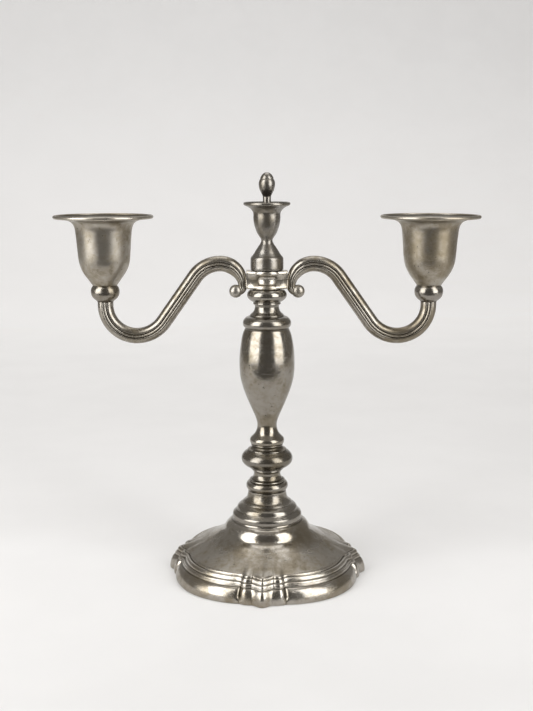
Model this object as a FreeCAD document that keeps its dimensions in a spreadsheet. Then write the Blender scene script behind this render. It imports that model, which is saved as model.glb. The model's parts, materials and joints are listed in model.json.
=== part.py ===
"""Two-light table candelabra with a weighted foot and a lift-off branch.

Millimetres, +Z up. The origin is the centre of the foot where it stands on the table.
+X runs along the two arms and -Y is the front. Every sub-part is one labelled body.
The stand is a stack of turned pieces on one tie rod. The branch is a casting of two
reeded arms on a hub, whose spigot turns and lifts in the socket at the stand's top.
"""
import os
from math import cos, radians, sin, sqrt

import FreeCAD
import Part
import Sketcher

Vector = FreeCAD.Vector
doc = FreeCAD.newDocument("candelabra")

# Driving dimensions: alias, value in millimetres or degrees, what it is.
DIMENSIONS = [
    ("base_tip", 55.6, "foot outline, radius to a bracket tip"),
    ("base_dip", 52.4, "foot outline, radius beside the tip"),
    ("base_lobe", 52.9, "foot outline, radius of the small lobe"),
    ("base_notch", 51.7, "foot outline, radius at the notch"),
    ("base_long", 54.7, "foot outline, radius in the middle of a long side"),
    ("edge_tip", 48.2, "dome edge, radius at a bracket tip"),
    ("edge_dip", 46.0, "dome edge, radius beside the tip"),
    ("edge_lobe", 46.3, "dome edge, radius of the small lobe"),
    ("edge_notch", 45.2, "dome edge, radius at the notch"),
    ("edge_long", 45.9, "dome edge, radius in the middle of a long side"),
    ("base_turn", -2.9, "angle of the foot's brackets from the arms' plane"),
    ("rim_lift", 0.3, "foot's metal rim above the table"),
    ("skirt_height", 8.2, "top of the skirt"),
    ("edge_height", 12.6, "dome edge above the table"),
    ("base_height", 31.4, "top of the dome, seat of the stem"),
    ("felt_radius", 49.6, "felt underlay"),
    ("felt_thickness", 1.2, "felt underlay"),
    ("collar_height", 9.2, "stepped foot collar"),
    ("collar_radius", 19.4, "stepped foot collar"),
    ("spool_height", 6.7, "flared spool"),
    ("spool_radius", 13.6, "flared spool at its foot"),
    ("ring_height", 12.3, "lower ring and its neck"),
    ("ring_radius", 11.7, "lower ring"),
    ("knop_height", 11.1, "large knop"),
    ("knop_radius", 14.3, "large knop"),
    ("step_height", 3.4, "cavetto ring over the knop"),
    ("step_radius", 10.7, "cavetto ring at its foot"),
    ("baluster_height", 64.8, "baluster"),
    ("baluster_radius", 15.2, "baluster"),
    ("shoulder_height", 14.3, "shoulder collar"),
    ("shoulder_radius", 13.3, "shoulder collar"),
    ("cap_height", 7.1, "socket cap"),
    ("cap_radius", 11.0, "socket cap"),
    ("rod_radius", 2.0, "tie rod"),
    ("rod_clearance", 0.1, "hole over rod, on the radius"),
    ("running_gap", 0.05, "running clearance, on the radius"),
    ("spigot_radius", 4.05, "branch spigot"),
    ("spigot_depth", 36.0, "branch spigot below the hub"),
    ("sleeve_wall", 0.65, "friction sleeve"),
    ("tube_wall", 0.8, "socket tube"),
    ("seam", 0.2, "gap between the stand and the hub"),
    ("sleeve_spare", 0.6, "sleeve and spigot shorter than their socket"),
    ("hub_height", 10.6, "hub collar"),
    ("hub_radius", 8.8, "hub collar"),
    ("urn_height", 37.5, "centre urn to its rim"),
    ("urn_dish", 4.0, "centre urn's dish below the rim"),
    ("urn_foot_radius", 9.05, "centre urn's foot"),
    ("urn_rim_radius", 12.8, "centre urn's rim"),
    ("finial_radius", 4.4, "acorn finial"),
    ("finial_stem", 2.2, "acorn finial's stem"),
    ("finial_tip", 0.6, "acorn finial's blunt tip, radius"),
    ("finial_plug", 10.5, "finial stem below the dish"),
    ("finial_gap", 0.3, "gap under the finial's stem"),
    ("finial_height", 15.4, "finial above the rim"),
    ("arm_reach", 88.1, "column axis to candle axis"),
    ("arm_end_height", 153.9, "arm's end, seat of the ball knop"),
    ("arm_half", 4.3, "arm section, half its depth in the arms' plane"),
    ("arm_half_wide", 4.1, "arm section, half its width across the arms' plane"),
    ("scroll_half", 2.1, "arm section at the scroll"),
    ("bend_outer", 16.8, "radius of the arm's U-bend on the cup side"),
    ("bend_inner", 18.2, "radius of the arm's U-bend on the hub side"),
    ("arch_outer", 16.8, "radius of the arm's arch on the cup side"),
    ("arch_inner", 12.2, "radius of the arm's arch on the hub side"),
    ("arch_from_axis", 25.3, "arch's top to the column axis"),
    ("arch_top_height", 174.4, "arch's top, on the arm's centre line"),
    ("rise_angle", 54.8, "slope of the arm's straight stretch"),
    ("curl_radius", 3.3, "radius of the scroll's curl"),
    ("scroll_ball", 3.6, "scroll's ball, radius"),
    ("web_reach", 11.5, "hub's webs, their ends from the column axis"),
    ("web_thickness", 8.0, "hub's webs, across the arms' plane"),
    ("ball_height", 8.6, "ball knop under a cup"),
    ("ball_radius", 7.8, "ball knop under a cup"),
    ("cup_height", 38.0, "candle cup to its rim's top"),
    ("cup_rim_radius", 27.0, "candle cup's rim"),
    ("cup_throat", 14.2, "candle cup's body, half way up"),
    ("cup_floor", 1.5, "candle cup's floor, thickness"),
    ("candle_bore", 11.25, "nozzle bore, radius, for a 22 mm candle"),
    ("nozzle_wall", 0.7, "lift-out nozzle"),
    ("nozzle_height", 22.4, "lift-out nozzle"),
    ("nozzle_seat", 12.6, "nozzle's foot above the cup's foot"),
    ("screw_radius", 1.5, "cup screw's shank"),
    ("screw_head", 3.0, "cup screw's head, radius"),
    ("screw_bite", 5.5, "cup screw's depth in the arm"),
    ("screw_hole", 6.0, "hole for the cup screw in the arm, depth"),
    ("stud_bite", 11.0, "stud's depth in the spigot"),
    ("stud_rise", 8.0, "stud's length in the urn"),
    ("hole_spare", 0.2, "stud's hole beyond the stud's end"),
    ("rod_foot", 0.8, "tie rod's foot above the felt"),
    ("rod_spare", 1.0, "tie rod's top below the spigot's foot"),
    ("washer_radius", 5.0, "tie-rod washer"),
    ("washer_thickness", 0.8, "tie-rod washer"),
    ("nut_across_flats", 7.0, "tie-rod nut"),
    ("nut_thickness", 3.2, "tie-rod nut"),
    ("hardware_recess", 8.0, "recess in the filler for nut and washer, depth"),
]


def make_sheet():
    """Write every driving dimension into the sheet, one row each."""
    table = doc.addObject("Spreadsheet::Sheet", "Dims")
    for row, (alias, value, meaning) in enumerate(DIMENSIONS, start=1):
        table.set(f"A{row}", meaning)
        table.set(f"B{row}", str(value))
        table.setAlias(f"B{row}", alias)
    doc.recompute()
    return table


sheet = make_sheet()


def size(alias):
    """The value of one dimension in the sheet."""
    return float(getattr(sheet, alias))


def bind(target, path, formula):
    """Bind a property to a formula; every alias in it gets the sheet's name."""
    words = []
    for word in formula.replace("(", "( ").replace(")", " )").split():
        words.append(f"Dims.{word}" if word[0].isalpha() else word)
    target.setExpression(path, " ".join(words))


def value_of(formula):
    """Work a formula of aliases out in plain numbers."""
    total = 0.0
    sign = 1.0
    for word in formula.split():
        if word in "+-":
            sign = 1.0 if word == "+" else -1.0
        else:
            total += sign * (size(word) if word[0].isalpha() else float(word))
    return total


def make_body(label, seat=None):
    """A body, seated at a height given by a formula of aliases."""
    body = doc.addObject("PartDesign::Body", label)
    body.Label = label
    if seat:
        bind(body, "Placement.Base.z", seat)
    return body


def plane_of(body, role):
    """One of the body's own origin planes."""
    return next(f for f in body.Origin.OriginFeatures if f.Role == role)


def make_sketch(body, name, role="XZ_Plane"):
    """A sketch on one of the body's origin planes."""
    sketch = body.newObject("Sketcher::SketchObject", f"{body.Name}_{name}")
    sketch.AttachmentSupport = (plane_of(body, role), [""])
    sketch.MapMode = "FlatFace"
    return sketch


def bulged_arc(start, end, bulge):
    """An arc between two points; the bulge is its rise over half its chord,
    positive to the right of the way from start to end."""
    chord = end - start
    middle = (start + end) * 0.5
    aside = Vector(chord.y, -chord.x, 0) * 0.5
    return Part.Arc(start, middle + aside * bulge, end)


def draw_outline(sketch, points):
    """Draw a closed outline of lines and arcs and bind each corner to the sheet.

    A point is (radius formula, height formula, bulge of the edge that leaves it)."""
    corners = [Vector(value_of(p[0]), value_of(p[1]), 0) for p in points]
    ends = []
    for index, corner in enumerate(corners):
        following = corners[(index + 1) % len(corners)]
        bulge = points[index][2] if len(points[index]) > 2 else 0
        if bulge:
            edge = sketch.addGeometry(bulged_arc(corner, following, bulge), False)
            first = sketch.getPoint(edge, 1)
            forward = first.distanceToPoint(corner) < first.distanceToPoint(following)
            ends.append((edge, 1, 2) if forward else (edge, 2, 1))
            radius = sketch.Geometry[edge].Radius
            sketch.addConstraint(Sketcher.Constraint("Radius", edge, radius))
        else:
            edge = sketch.addGeometry(Part.LineSegment(corner, following), False)
            ends.append((edge, 1, 2))
    for index, (edge, first, last) in enumerate(ends):
        before, _, before_last = ends[index - 1]
        sketch.addConstraint(
            Sketcher.Constraint("Coincident", before, before_last, edge, first)
        )
        for axis, coordinate, formula in (
            ("DistanceX", corners[index].x, points[index][0]),
            ("DistanceY", corners[index].y, points[index][1]),
        ):
            if abs(coordinate) < 1e-6:
                line = -2 if axis == "DistanceX" else -1
                sketch.addConstraint(
                    Sketcher.Constraint("PointOnObject", edge, first, line)
                )
                continue
            number = sketch.addConstraint(
                Sketcher.Constraint(axis, -1, 1, edge, first, coordinate)
            )
            bind(sketch, f"Constraints[{number}]", formula)


def turned(label, seat, points):
    """A lathe-turned piece: one outline turned about the body's Z axis."""
    body = make_body(label, seat)
    sketch = make_sketch(body, "outline")
    draw_outline(sketch, points)
    turning = body.newObject("PartDesign::Revolution", f"{label}_turning")
    turning.Profile = sketch
    turning.ReferenceAxis = (sketch, ["V_Axis"])
    turning.Angle = 360
    return body


def with_bore(outside, hole="rod_radius + rod_clearance", height=None):
    """Close a turned outside, listed from its foot up, round a plain bore."""
    foot = outside[0][1]
    top = height or outside[-1][1]
    return outside + [(hole, top), (hole, foot)]


# ---------------------------------------------------------------- the foot


def outline_point(radius, angle):
    return Vector(radius * cos(radians(angle)), radius * sin(radians(angle)), 0)


# Angles of the foot's outline from a bracket's middle, in degrees.
DIP_ANGLE = 5.5
LOBE_ANGLE = 10.0
NOTCH_ANGLE = 14.3


def foot_radii(share):
    """Outline radii part of the way from the dome edge (0) to the table (1)."""
    radii = {}
    for place in ("tip", "dip", "lobe", "notch", "long"):
        inner = size(f"edge_{place}")
        radii[place] = inner + share * (size(f"base_{place}") - inner)
    return radii


def draw_foot_outline(sketch, share):
    """Four brackets and four long sides, each stretch an arc."""
    radii = foot_radii(share)
    for quarter in range(4):
        middle = 90 * quarter + size("base_turn")

        def at(place, angle):
            return outline_point(radii[place], middle + angle)

        stretches = [
            (at("notch", -NOTCH_ANGLE), at("lobe", -LOBE_ANGLE), at("dip", -DIP_ANGLE)),
            (at("dip", -DIP_ANGLE), at("tip", 0), at("dip", DIP_ANGLE)),
            (at("dip", DIP_ANGLE), at("lobe", LOBE_ANGLE), at("notch", NOTCH_ANGLE)),
            (at("notch", NOTCH_ANGLE), at("long", 45), at("notch", 90 - NOTCH_ANGLE)),
        ]
        for start, through, end in stretches:
            sketch.addGeometry(Part.Arc(start, through, end), False)


# The foot's mouldings from the rim up: share of the way out, height formula.
FOOT_LEVELS = [
    (1.00, "rim_lift"),
    (1.00, "rim_lift + 1.4"),
    (0.93, "skirt_height - 4.2"),
    (0.80, "skirt_height - 1.8"),
    (0.64, "skirt_height - 0.3"),
    (0.58, "skirt_height + 0.9"),
    (0.38, "edge_height - 1.9"),
    (0.24, "edge_height + 0.1"),
    (0.06, "edge_height + 0.2"),
]


def cavity_points(inset, foot):
    """The foot's hollow, listed from the rim up; the filler is inset inside it."""
    return [
        (f"felt_radius + 0.4 - {inset}", foot),
        (f"felt_radius + 0.4 - {inset}", "skirt_height - 6"),
        (f"felt_radius - 1.2 - {inset}", "skirt_height - 1.5"),
        (f"edge_notch - 2.2 - {inset}", "edge_height - 1.7"),
        (f"edge_notch - 9.4 - {inset}", "edge_height + 2.6"),
        (f"collar_radius + 8.6 - {inset}", "edge_height + 7.0"),
        (f"collar_radius + 2.8 - {inset}", "base_height - 6.4"),
        (f"collar_radius - 0.2 - {inset}", f"base_height - 2.6 - {inset}"),
        (f"collar_radius - 3.0 - {inset}", f"base_height - 1.4 - {inset}"),
        ("rod_radius + rod_clearance", f"base_height - 1.4 - {inset}"),
    ]


def make_base_shell():
    """Stamped foot: lofted mouldings under a turned dome, hollow below."""
    body = make_body("base_shell")
    levels = []
    for number, (share, height) in enumerate(FOOT_LEVELS):
        sketch = make_sketch(body, f"level_{number}", "XY_Plane")
        bind(sketch, "AttachmentOffset.Base.z", height)
        draw_foot_outline(sketch, share)
        levels.append(sketch)
    loft = body.newObject("PartDesign::AdditiveLoft", "foot_mouldings")
    loft.Profile = levels[0]
    loft.Sections = levels[1:]
    loft.Ruled = True
    dome = make_sketch(body, "dome")
    draw_outline(
        dome,
        [
            ("0", "edge_height - 6"),
            ("edge_notch - 1", "edge_height - 6"),
            ("edge_notch - 1", "edge_height + 0.9", -0.07),
            ("collar_radius + 7.4", "edge_height + 9.6", -0.16),
            ("collar_radius + 3.9", "base_height - 4.2", 0.27),
            ("collar_radius - 0.2", "base_height - 0.2"),
            ("collar_radius - 0.4", "base_height"),
            ("0", "base_height"),
        ],
    )
    turning = body.newObject("PartDesign::Revolution", "dome_turning")
    turning.Profile = dome
    turning.ReferenceAxis = (dome, ["V_Axis"])
    turning.Angle = 360
    hollow = make_sketch(body, "hollow")
    hollow_top = ("0", "base_height - 1.4")
    draw_outline(hollow, [("0", "0")] + cavity_points("0", "0") + [hollow_top])
    cut = body.newObject("PartDesign::Groove", "foot_hollow")
    cut.Profile = hollow
    cut.ReferenceAxis = (hollow, ["V_Axis"])
    cut.Angle = 360
    hole = make_sketch(body, "rod_hole")
    draw_outline(
        hole,
        [
            ("0", "base_height - 4"),
            ("rod_radius + rod_clearance", "base_height - 4"),
            ("rod_radius + rod_clearance", "base_height + 1"),
            ("0", "base_height + 1"),
        ],
    )
    drilled = body.newObject("PartDesign::Groove", "foot_rod_hole")
    drilled.Profile = hole
    drilled.ReferenceAxis = (hole, ["V_Axis"])
    drilled.Angle = 360
    return body


def make_base_weight():
    """Cast filler that weighs the foot down, with a recess for nut and washer."""
    points = cavity_points("0.05", "felt_thickness")
    return turned(
        "base_weight",
        None,
        points
        + [
            ("rod_radius + rod_clearance", "felt_thickness + hardware_recess"),
            ("washer_radius + 1", "felt_thickness + hardware_recess"),
            ("washer_radius + 1", "felt_thickness"),
        ],
    )


def make_base_felt():
    """Felt underlay: the only piece that touches the table."""
    return turned(
        "base_felt",
        None,
        [
            ("0", "0"),
            ("felt_radius", "0"),
            ("felt_radius", "felt_thickness"),
            ("0", "felt_thickness"),
        ],
    )


# ---------------------------------------------------------------- the stem

SEAT_COLLAR = "base_height"
SEAT_SPOOL = SEAT_COLLAR + " + collar_height"
SEAT_RING = SEAT_SPOOL + " + spool_height"
SEAT_KNOP = SEAT_RING + " + ring_height"
SEAT_STEP = SEAT_KNOP + " + knop_height"
SEAT_BALUSTER = SEAT_STEP + " + step_height"
SEAT_SHOULDER = SEAT_BALUSTER + " + baluster_height"
SEAT_CAP = SEAT_SHOULDER + " + shoulder_height"
STAND_TOP = SEAT_CAP + " + cap_height"
HUB_SEAT = STAND_TOP + " + seam"
SPIGOT_FOOT = STAND_TOP + " - spigot_depth"
URN_SEAT = HUB_SEAT + " + hub_height"
SOCKET_BORE = "spigot_radius + sleeve_wall + running_gap + running_gap"
TUBE_OUTSIDE = SOCKET_BORE + " + tube_wall"


def make_foot_collar():
    return turned(
        "foot_collar",
        SEAT_COLLAR,
        with_bore(
            [
                ("collar_radius - 0.3", "0"),
                ("collar_radius", "0.9"),
                ("collar_radius", "1.9", 0.3),
                ("collar_radius - 2.3", "5.0"),
                ("collar_radius - 2.7", "5.2", 0.35),
                ("collar_radius - 4.9", "8.6"),
                ("collar_radius - 5.8", "collar_height"),
            ]
        ),
    )


def make_stem_spool():
    return turned(
        "stem_spool",
        SEAT_SPOOL,
        with_bore(
            [
                ("spool_radius - 0.3", "0"),
                ("spool_radius", "0.3", -0.32),
                ("spool_radius - 2.9", "5.8"),
                ("spool_radius - 3.0", "spool_height"),
            ]
        ),
    )


def make_lower_ring():
    return turned(
        "lower_ring",
        SEAT_RING,
        with_bore(
            [
                ("ring_radius - 1.1", "0"),
                ("ring_radius - 0.7", "0.6", 0.38),
                ("ring_radius - 1.1", "5.3"),
                ("ring_radius - 1.7", "5.5", 0.5),
                ("ring_radius - 2.3", "6.5", -0.4),
                ("ring_radius - 3.3", "ring_height - 0.4"),
                ("ring_radius - 3.1", "ring_height"),
            ]
        ),
    )


def make_knop():
    return turned(
        "knop",
        SEAT_KNOP,
        with_bore(
            [
                ("knop_radius - 5.6", "0"),
                ("knop_radius - 5.0", "0.5"),
                ("knop_radius - 4.8", "1.0", 0.1),
                ("knop_radius - 1.1", "3.4", 0.42),
                ("knop_radius - 1.2", "9.0", 0.1),
                ("knop_radius - 3.6", "knop_height"),
            ]
        ),
    )


def make_step_ring():
    return turned(
        "step_ring",
        SEAT_STEP,
        with_bore(
            [
                ("step_radius - 0.2", "0"),
                ("step_radius", "0.3", -0.4),
                ("step_radius - 2.0", "3.0"),
                ("step_radius - 1.9", "step_height"),
            ]
        ),
    )


def make_baluster():
    """Hollow spun vase; its inside is open to the tie rod's hole."""
    outside = [
        ("baluster_radius - 6.3", "0", 0.45),
        ("baluster_radius - 6.3", "3.9", -0.12),
        ("baluster_radius - 8.9", "7.0", -0.15),
        ("baluster_radius - 8.9", "14.6"),
        ("baluster_radius - 3.2", "28.0", 0.11),
        ("baluster_radius - 0.15", "45.2", 0.12),
        ("baluster_radius - 3.0", "baluster_height"),
    ]
    inside = [
        (TUBE_OUTSIDE, "baluster_height"),
        (TUBE_OUTSIDE, "baluster_height - 1.5"),
        ("baluster_radius - 3.8", "baluster_height - 1.5"),
        ("baluster_radius - 1.5", "47.0"),
        ("baluster_radius - 1.8", "38.0"),
        ("baluster_radius - 4.8", "28.5"),
        ("rod_radius + rod_clearance", "16.0"),
        ("rod_radius + rod_clearance", "0"),
    ]
    return turned("baluster", SEAT_BALUSTER, outside + inside)


def make_shoulder_collar():
    return turned(
        "shoulder_collar",
        SEAT_SHOULDER,
        with_bore(
            [
                ("shoulder_radius - 1.1", "0", 0.42),
                ("shoulder_radius - 1.5", "6.2"),
                ("shoulder_radius - 3.6", "6.8"),
                ("shoulder_radius - 3.9", "7.5"),
                ("shoulder_radius - 4.6", "8.2", -0.4),
                ("shoulder_radius - 5.9", "shoulder_height - 0.4"),
                ("shoulder_radius - 5.7", "shoulder_height"),
            ],
            TUBE_OUTSIDE,
        ),
    )


def make_socket_cap():
    return turned(
        "socket_cap",
        SEAT_CAP,
        with_bore(
            [
                ("cap_radius - 3.3", "0"),
                ("cap_radius - 3.2", "0.6"),
                ("cap_radius - 3.6", "0.9", -0.1),
                ("cap_radius - 0.9", "2.6", 0.45),
                ("cap_radius - 0.9", "6.4"),
                ("cap_radius - 1.6", "cap_height"),
            ],
            SOCKET_BORE,
        ),
    )


def make_socket_tube():
    """Tube let into the stem's top: the sleeve turns in it, the tie rod ends in it."""
    floor = "cap_height"
    return turned(
        "socket_tube",
        SEAT_CAP + " - spigot_depth",
        [
            ("rod_radius", "0"),
            (TUBE_OUTSIDE, "0"),
            (TUBE_OUTSIDE, "spigot_depth"),
            (SOCKET_BORE, "spigot_depth"),
            (SOCKET_BORE, floor),
            ("rod_radius", floor),
        ],
    )


def make_tie_rod():
    """Threaded rod that draws the whole stack together."""
    foot = "felt_thickness + rod_foot"
    length = f"{SPIGOT_FOOT} - rod_spare - felt_thickness - rod_foot"
    return turned(
        "tie_rod",
        foot,
        [("0", "0"), ("rod_radius", "0"), ("rod_radius", length), ("0", length)],
    )


def make_tie_rod_washer():
    return turned(
        "tie_rod_washer",
        "felt_thickness + hardware_recess - washer_thickness",
        [
            ("rod_radius + rod_clearance", "0"),
            ("washer_radius", "0"),
            ("washer_radius", "washer_thickness"),
            ("rod_radius + rod_clearance", "washer_thickness"),
        ],
    )


def make_tie_rod_nut():
    """Hexagon nut under the washer."""
    body = make_body(
        "tie_rod_nut",
        "felt_thickness + hardware_recess - washer_thickness - nut_thickness",
    )
    sketch = make_sketch(body, "hexagon", "XY_Plane")
    corner = size("nut_across_flats") / sqrt(3)
    corners = [outline_point(corner, 60 * step) for step in range(6)]
    for index in range(6):
        line = Part.LineSegment(corners[index], corners[(index + 1) % 6])
        sketch.addGeometry(line, False)
    for index in range(6):
        following = (index + 1) % 6
        sketch.addConstraint(Sketcher.Constraint("Coincident", index, 2, following, 1))
    hole = Part.Circle(Vector(0, 0, 0), Vector(0, 0, 1), size("rod_radius"))
    circle = sketch.addGeometry(hole, False)
    sketch.addConstraint(Sketcher.Constraint("Coincident", circle, 3, -1, 1))
    radius = sketch.addConstraint(
        Sketcher.Constraint("Radius", circle, size("rod_radius"))
    )
    bind(sketch, f"Constraints[{radius}]", "rod_radius")
    pad = body.newObject("PartDesign::Pad", "nut_pad")
    pad.Profile = sketch
    bind(pad, "Length", "nut_thickness")
    return body


# ---------------------------------------------------------------- the branch


def make_spigot_sleeve():
    """Friction sleeve between the socket tube and the branch's spigot."""
    inside = "spigot_radius + running_gap"
    outside = "spigot_radius + sleeve_wall + running_gap"
    length = "spigot_depth - sleeve_spare"
    return turned(
        "spigot_sleeve",
        SPIGOT_FOOT + " + sleeve_spare - seam",
        [(inside, "0"), (outside, "0"), (outside, length), (inside, length)],
    )


def make_branch_spigot():
    """Plug under the hub, with a blind hole for the stud."""
    return turned(
        "branch_spigot",
        HUB_SEAT + " - spigot_depth + sleeve_spare",
        [
            ("0", "0"),
            ("spigot_radius - 0.8", "0"),
            ("spigot_radius", "0.8"),
            ("spigot_radius", "spigot_depth - sleeve_spare"),
            ("rod_radius", "spigot_depth - sleeve_spare"),
            ("rod_radius", "spigot_depth - sleeve_spare - stud_bite"),
            ("0", "spigot_depth - sleeve_spare - stud_bite"),
        ],
    )


def make_branch_stud():
    """Stud that joins the spigot, the hub and the centre urn."""
    length = "stud_bite + hub_height + stud_rise"
    return turned(
        "branch_stud",
        HUB_SEAT + " - stud_bite",
        [("0", "0"), ("rod_radius", "0"), ("rod_radius", length), ("0", length)],
    )


def make_hub_collar():
    """Spool between the arms, with a flat web each side that the arms join."""
    body = turned(
        "hub_collar",
        HUB_SEAT,
        with_bore(
            [
                ("hub_radius - 0.9", "0"),
                ("hub_radius - 0.5", "0.4"),
                ("hub_radius - 0.5", "1.7"),
                ("hub_radius - 0.9", "2.3", -0.2),
                ("hub_radius - 2.4", "3.4"),
                ("hub_radius - 2.5", "hub_height - 3.9", -0.2),
                ("hub_radius - 0.6", "hub_height - 2.4"),
                ("hub_radius", "hub_height - 2.0"),
                ("hub_radius", "hub_height - 0.7"),
                ("hub_radius - 0.7", "hub_height"),
            ]
        ),
    )
    web = make_sketch(body, "web")
    stretch = [
        ("rod_radius + 2", "1.5"),
        ("web_reach", "1.5"),
        ("web_reach", "hub_height - 1"),
        ("rod_radius + 2", "hub_height - 1"),
    ]
    draw_outline(web, stretch)
    pad = body.newObject("PartDesign::Pad", "web_pad")
    pad.Profile = web
    pad.Midplane = True
    bind(pad, "Length", "web_thickness")
    pattern = body.newObject("PartDesign::PolarPattern", "web_pair")
    pattern.Originals = [pad]
    pattern.Axis = (web, ["V_Axis"])
    pattern.Angle = 360
    pattern.Occurrences = 2
    body.Tip = pattern
    return body


def make_centre_urn():
    """Urn over the hub: waisted foot, small bowl and a dished rim."""
    rim = "urn_height"
    return turned(
        "centre_urn",
        URN_SEAT,
        [
            ("rod_radius", "0"),
            ("urn_foot_radius - 0.9", "0"),
            ("urn_foot_radius - 0.7", "0.5"),
            ("urn_foot_radius", "1.0"),
            ("urn_foot_radius", "6.3"),
            ("urn_foot_radius - 0.7", "7.3"),
            ("urn_foot_radius - 1.8", "8.5"),
            ("urn_foot_radius - 5.6", "14.3", -0.25),
            ("urn_foot_radius - 5.5", "16.8"),
            ("urn_foot_radius - 3.9", "19.3", 0.13),
            ("urn_foot_radius - 1.7", "26.0"),
            ("urn_foot_radius - 1.65", "30.0", -0.35),
            ("urn_rim_radius - 1.4", f"{rim} - 3.0"),
            ("urn_rim_radius - 0.7", f"{rim} - 2.8", 0.9),
            ("urn_rim_radius - 0.9", f"{rim} - 1.2"),
            ("urn_rim_radius - 2.0", f"{rim} - 1.9"),
            ("urn_rim_radius - 6.0", f"{rim} - 3.4"),
            ("finial_stem + running_gap", f"{rim} - urn_dish"),
            ("finial_stem + running_gap", f"{rim} - urn_dish - finial_plug"),
            ("0", f"{rim} - urn_dish - finial_plug"),
            ("0", "stud_rise + hole_spare"),
            ("rod_radius", "stud_rise + hole_spare"),
        ],
    )


def make_acorn_finial():
    """Acorn on a stem that plugs into the urn."""
    plug = "finial_plug + 2.9"
    return turned(
        "acorn_finial",
        URN_SEAT + " + urn_height - urn_dish - finial_plug + finial_gap",
        [
            ("0", "0"),
            ("finial_stem - 0.3", "0"),
            ("finial_stem", "0.3"),
            ("finial_stem", f"{plug} + 1.3"),
            ("finial_radius - 1.8", f"{plug} + 3.2", 0.18),
            ("finial_radius", f"{plug} + 8.9", 0.15),
            ("finial_radius - 0.8", f"{plug} + 11.9"),
            ("finial_radius - 1.0", f"{plug} + 12.4", 0.33),
            ("finial_tip", f"{plug} + finial_height"),
            ("0", f"{plug} + finial_height"),
        ],
    )


# Points of the arm's section, as shares of its half depth and half width.
CREST = (1.0, 0.0)
CROWN = (0.72, 0.62)
SHOULDER = (0.3, 0.88)
GROOVE = (0.2, 0.78)
BEAD_FOOT = (0.16, 0.78)
BEAD_TOP = (0.0, 1.0)


def reeded_section(sketch, half, half_wide):
    """Arm section: two crowned facets a side with a bead between two grooves."""
    quarter = [
        (CREST, CROWN, SHOULDER),
        (SHOULDER, None, GROOVE),
        (GROOVE, None, BEAD_FOOT),
    ]
    for flip in (1, -1):

        def at(share, way=1):
            return Vector(way * share[0] * half, flip * share[1] * half_wide, 0)

        for way in (1, -1):
            for start, through, end in quarter:
                if through is None:
                    edge = Part.LineSegment(at(start, way), at(end, way))
                else:
                    edge = Part.Arc(at(start, way), at(through, way), at(end, way))
                sketch.addGeometry(edge, False)
        bead = Part.Arc(at(BEAD_FOOT), at(BEAD_TOP), at(BEAD_FOOT, -1))
        sketch.addGeometry(bead, False)


def arm_places():
    """Centre line of the arm on the -X side: the ends of its lines and arcs."""
    angle = radians(size("rise_angle"))
    end = Vector(-size("arm_reach"), size("arm_end_height"), 0)
    bottom_x = end.x + size("bend_outer")
    arch_x = -size("arch_from_axis")
    arch_z = size("arch_top_height")
    run = Vector(cos(angle), sin(angle), 0)
    # The straight stretch touches both arcs; its height follows from the slope.
    rise_start = Vector(bottom_x + size("bend_inner") * sin(angle), 0, 0)
    rise_end = Vector(arch_x - size("arch_outer") * sin(angle), 0, 0)
    rise_end.y = arch_z - size("arch_outer") * (1 - cos(angle))
    length = (rise_end.x - rise_start.x) / run.x
    rise_start.y = rise_end.y - length * run.y
    bottom_z = rise_start.y - size("bend_inner") * (1 - cos(angle))
    return {
        "end": end,
        "drop": Vector(end.x, bottom_z + size("bend_outer"), 0),
        "bottom": Vector(bottom_x, bottom_z, 0),
        "rise_start": rise_start,
        "rise_end": rise_end,
        "arch_top": Vector(arch_x, arch_z, 0),
        "arch_end": Vector(arch_x + size("arch_inner"), arch_z - size("arch_inner"), 0),
    }


def arc_about(centre, radius, start, end):
    """Points of an arc about a centre, at its start, middle and end angles."""
    return [
        centre + Vector(radius * cos(radians(a)), radius * sin(radians(a)), 0)
        for a in (start, 0.5 * (start + end), end)
    ]


# The scroll's ball sits a little back from the end of the curl.
SCROLL_BALL_SHIFT = Vector(-0.4, 0.6, 0)


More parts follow.
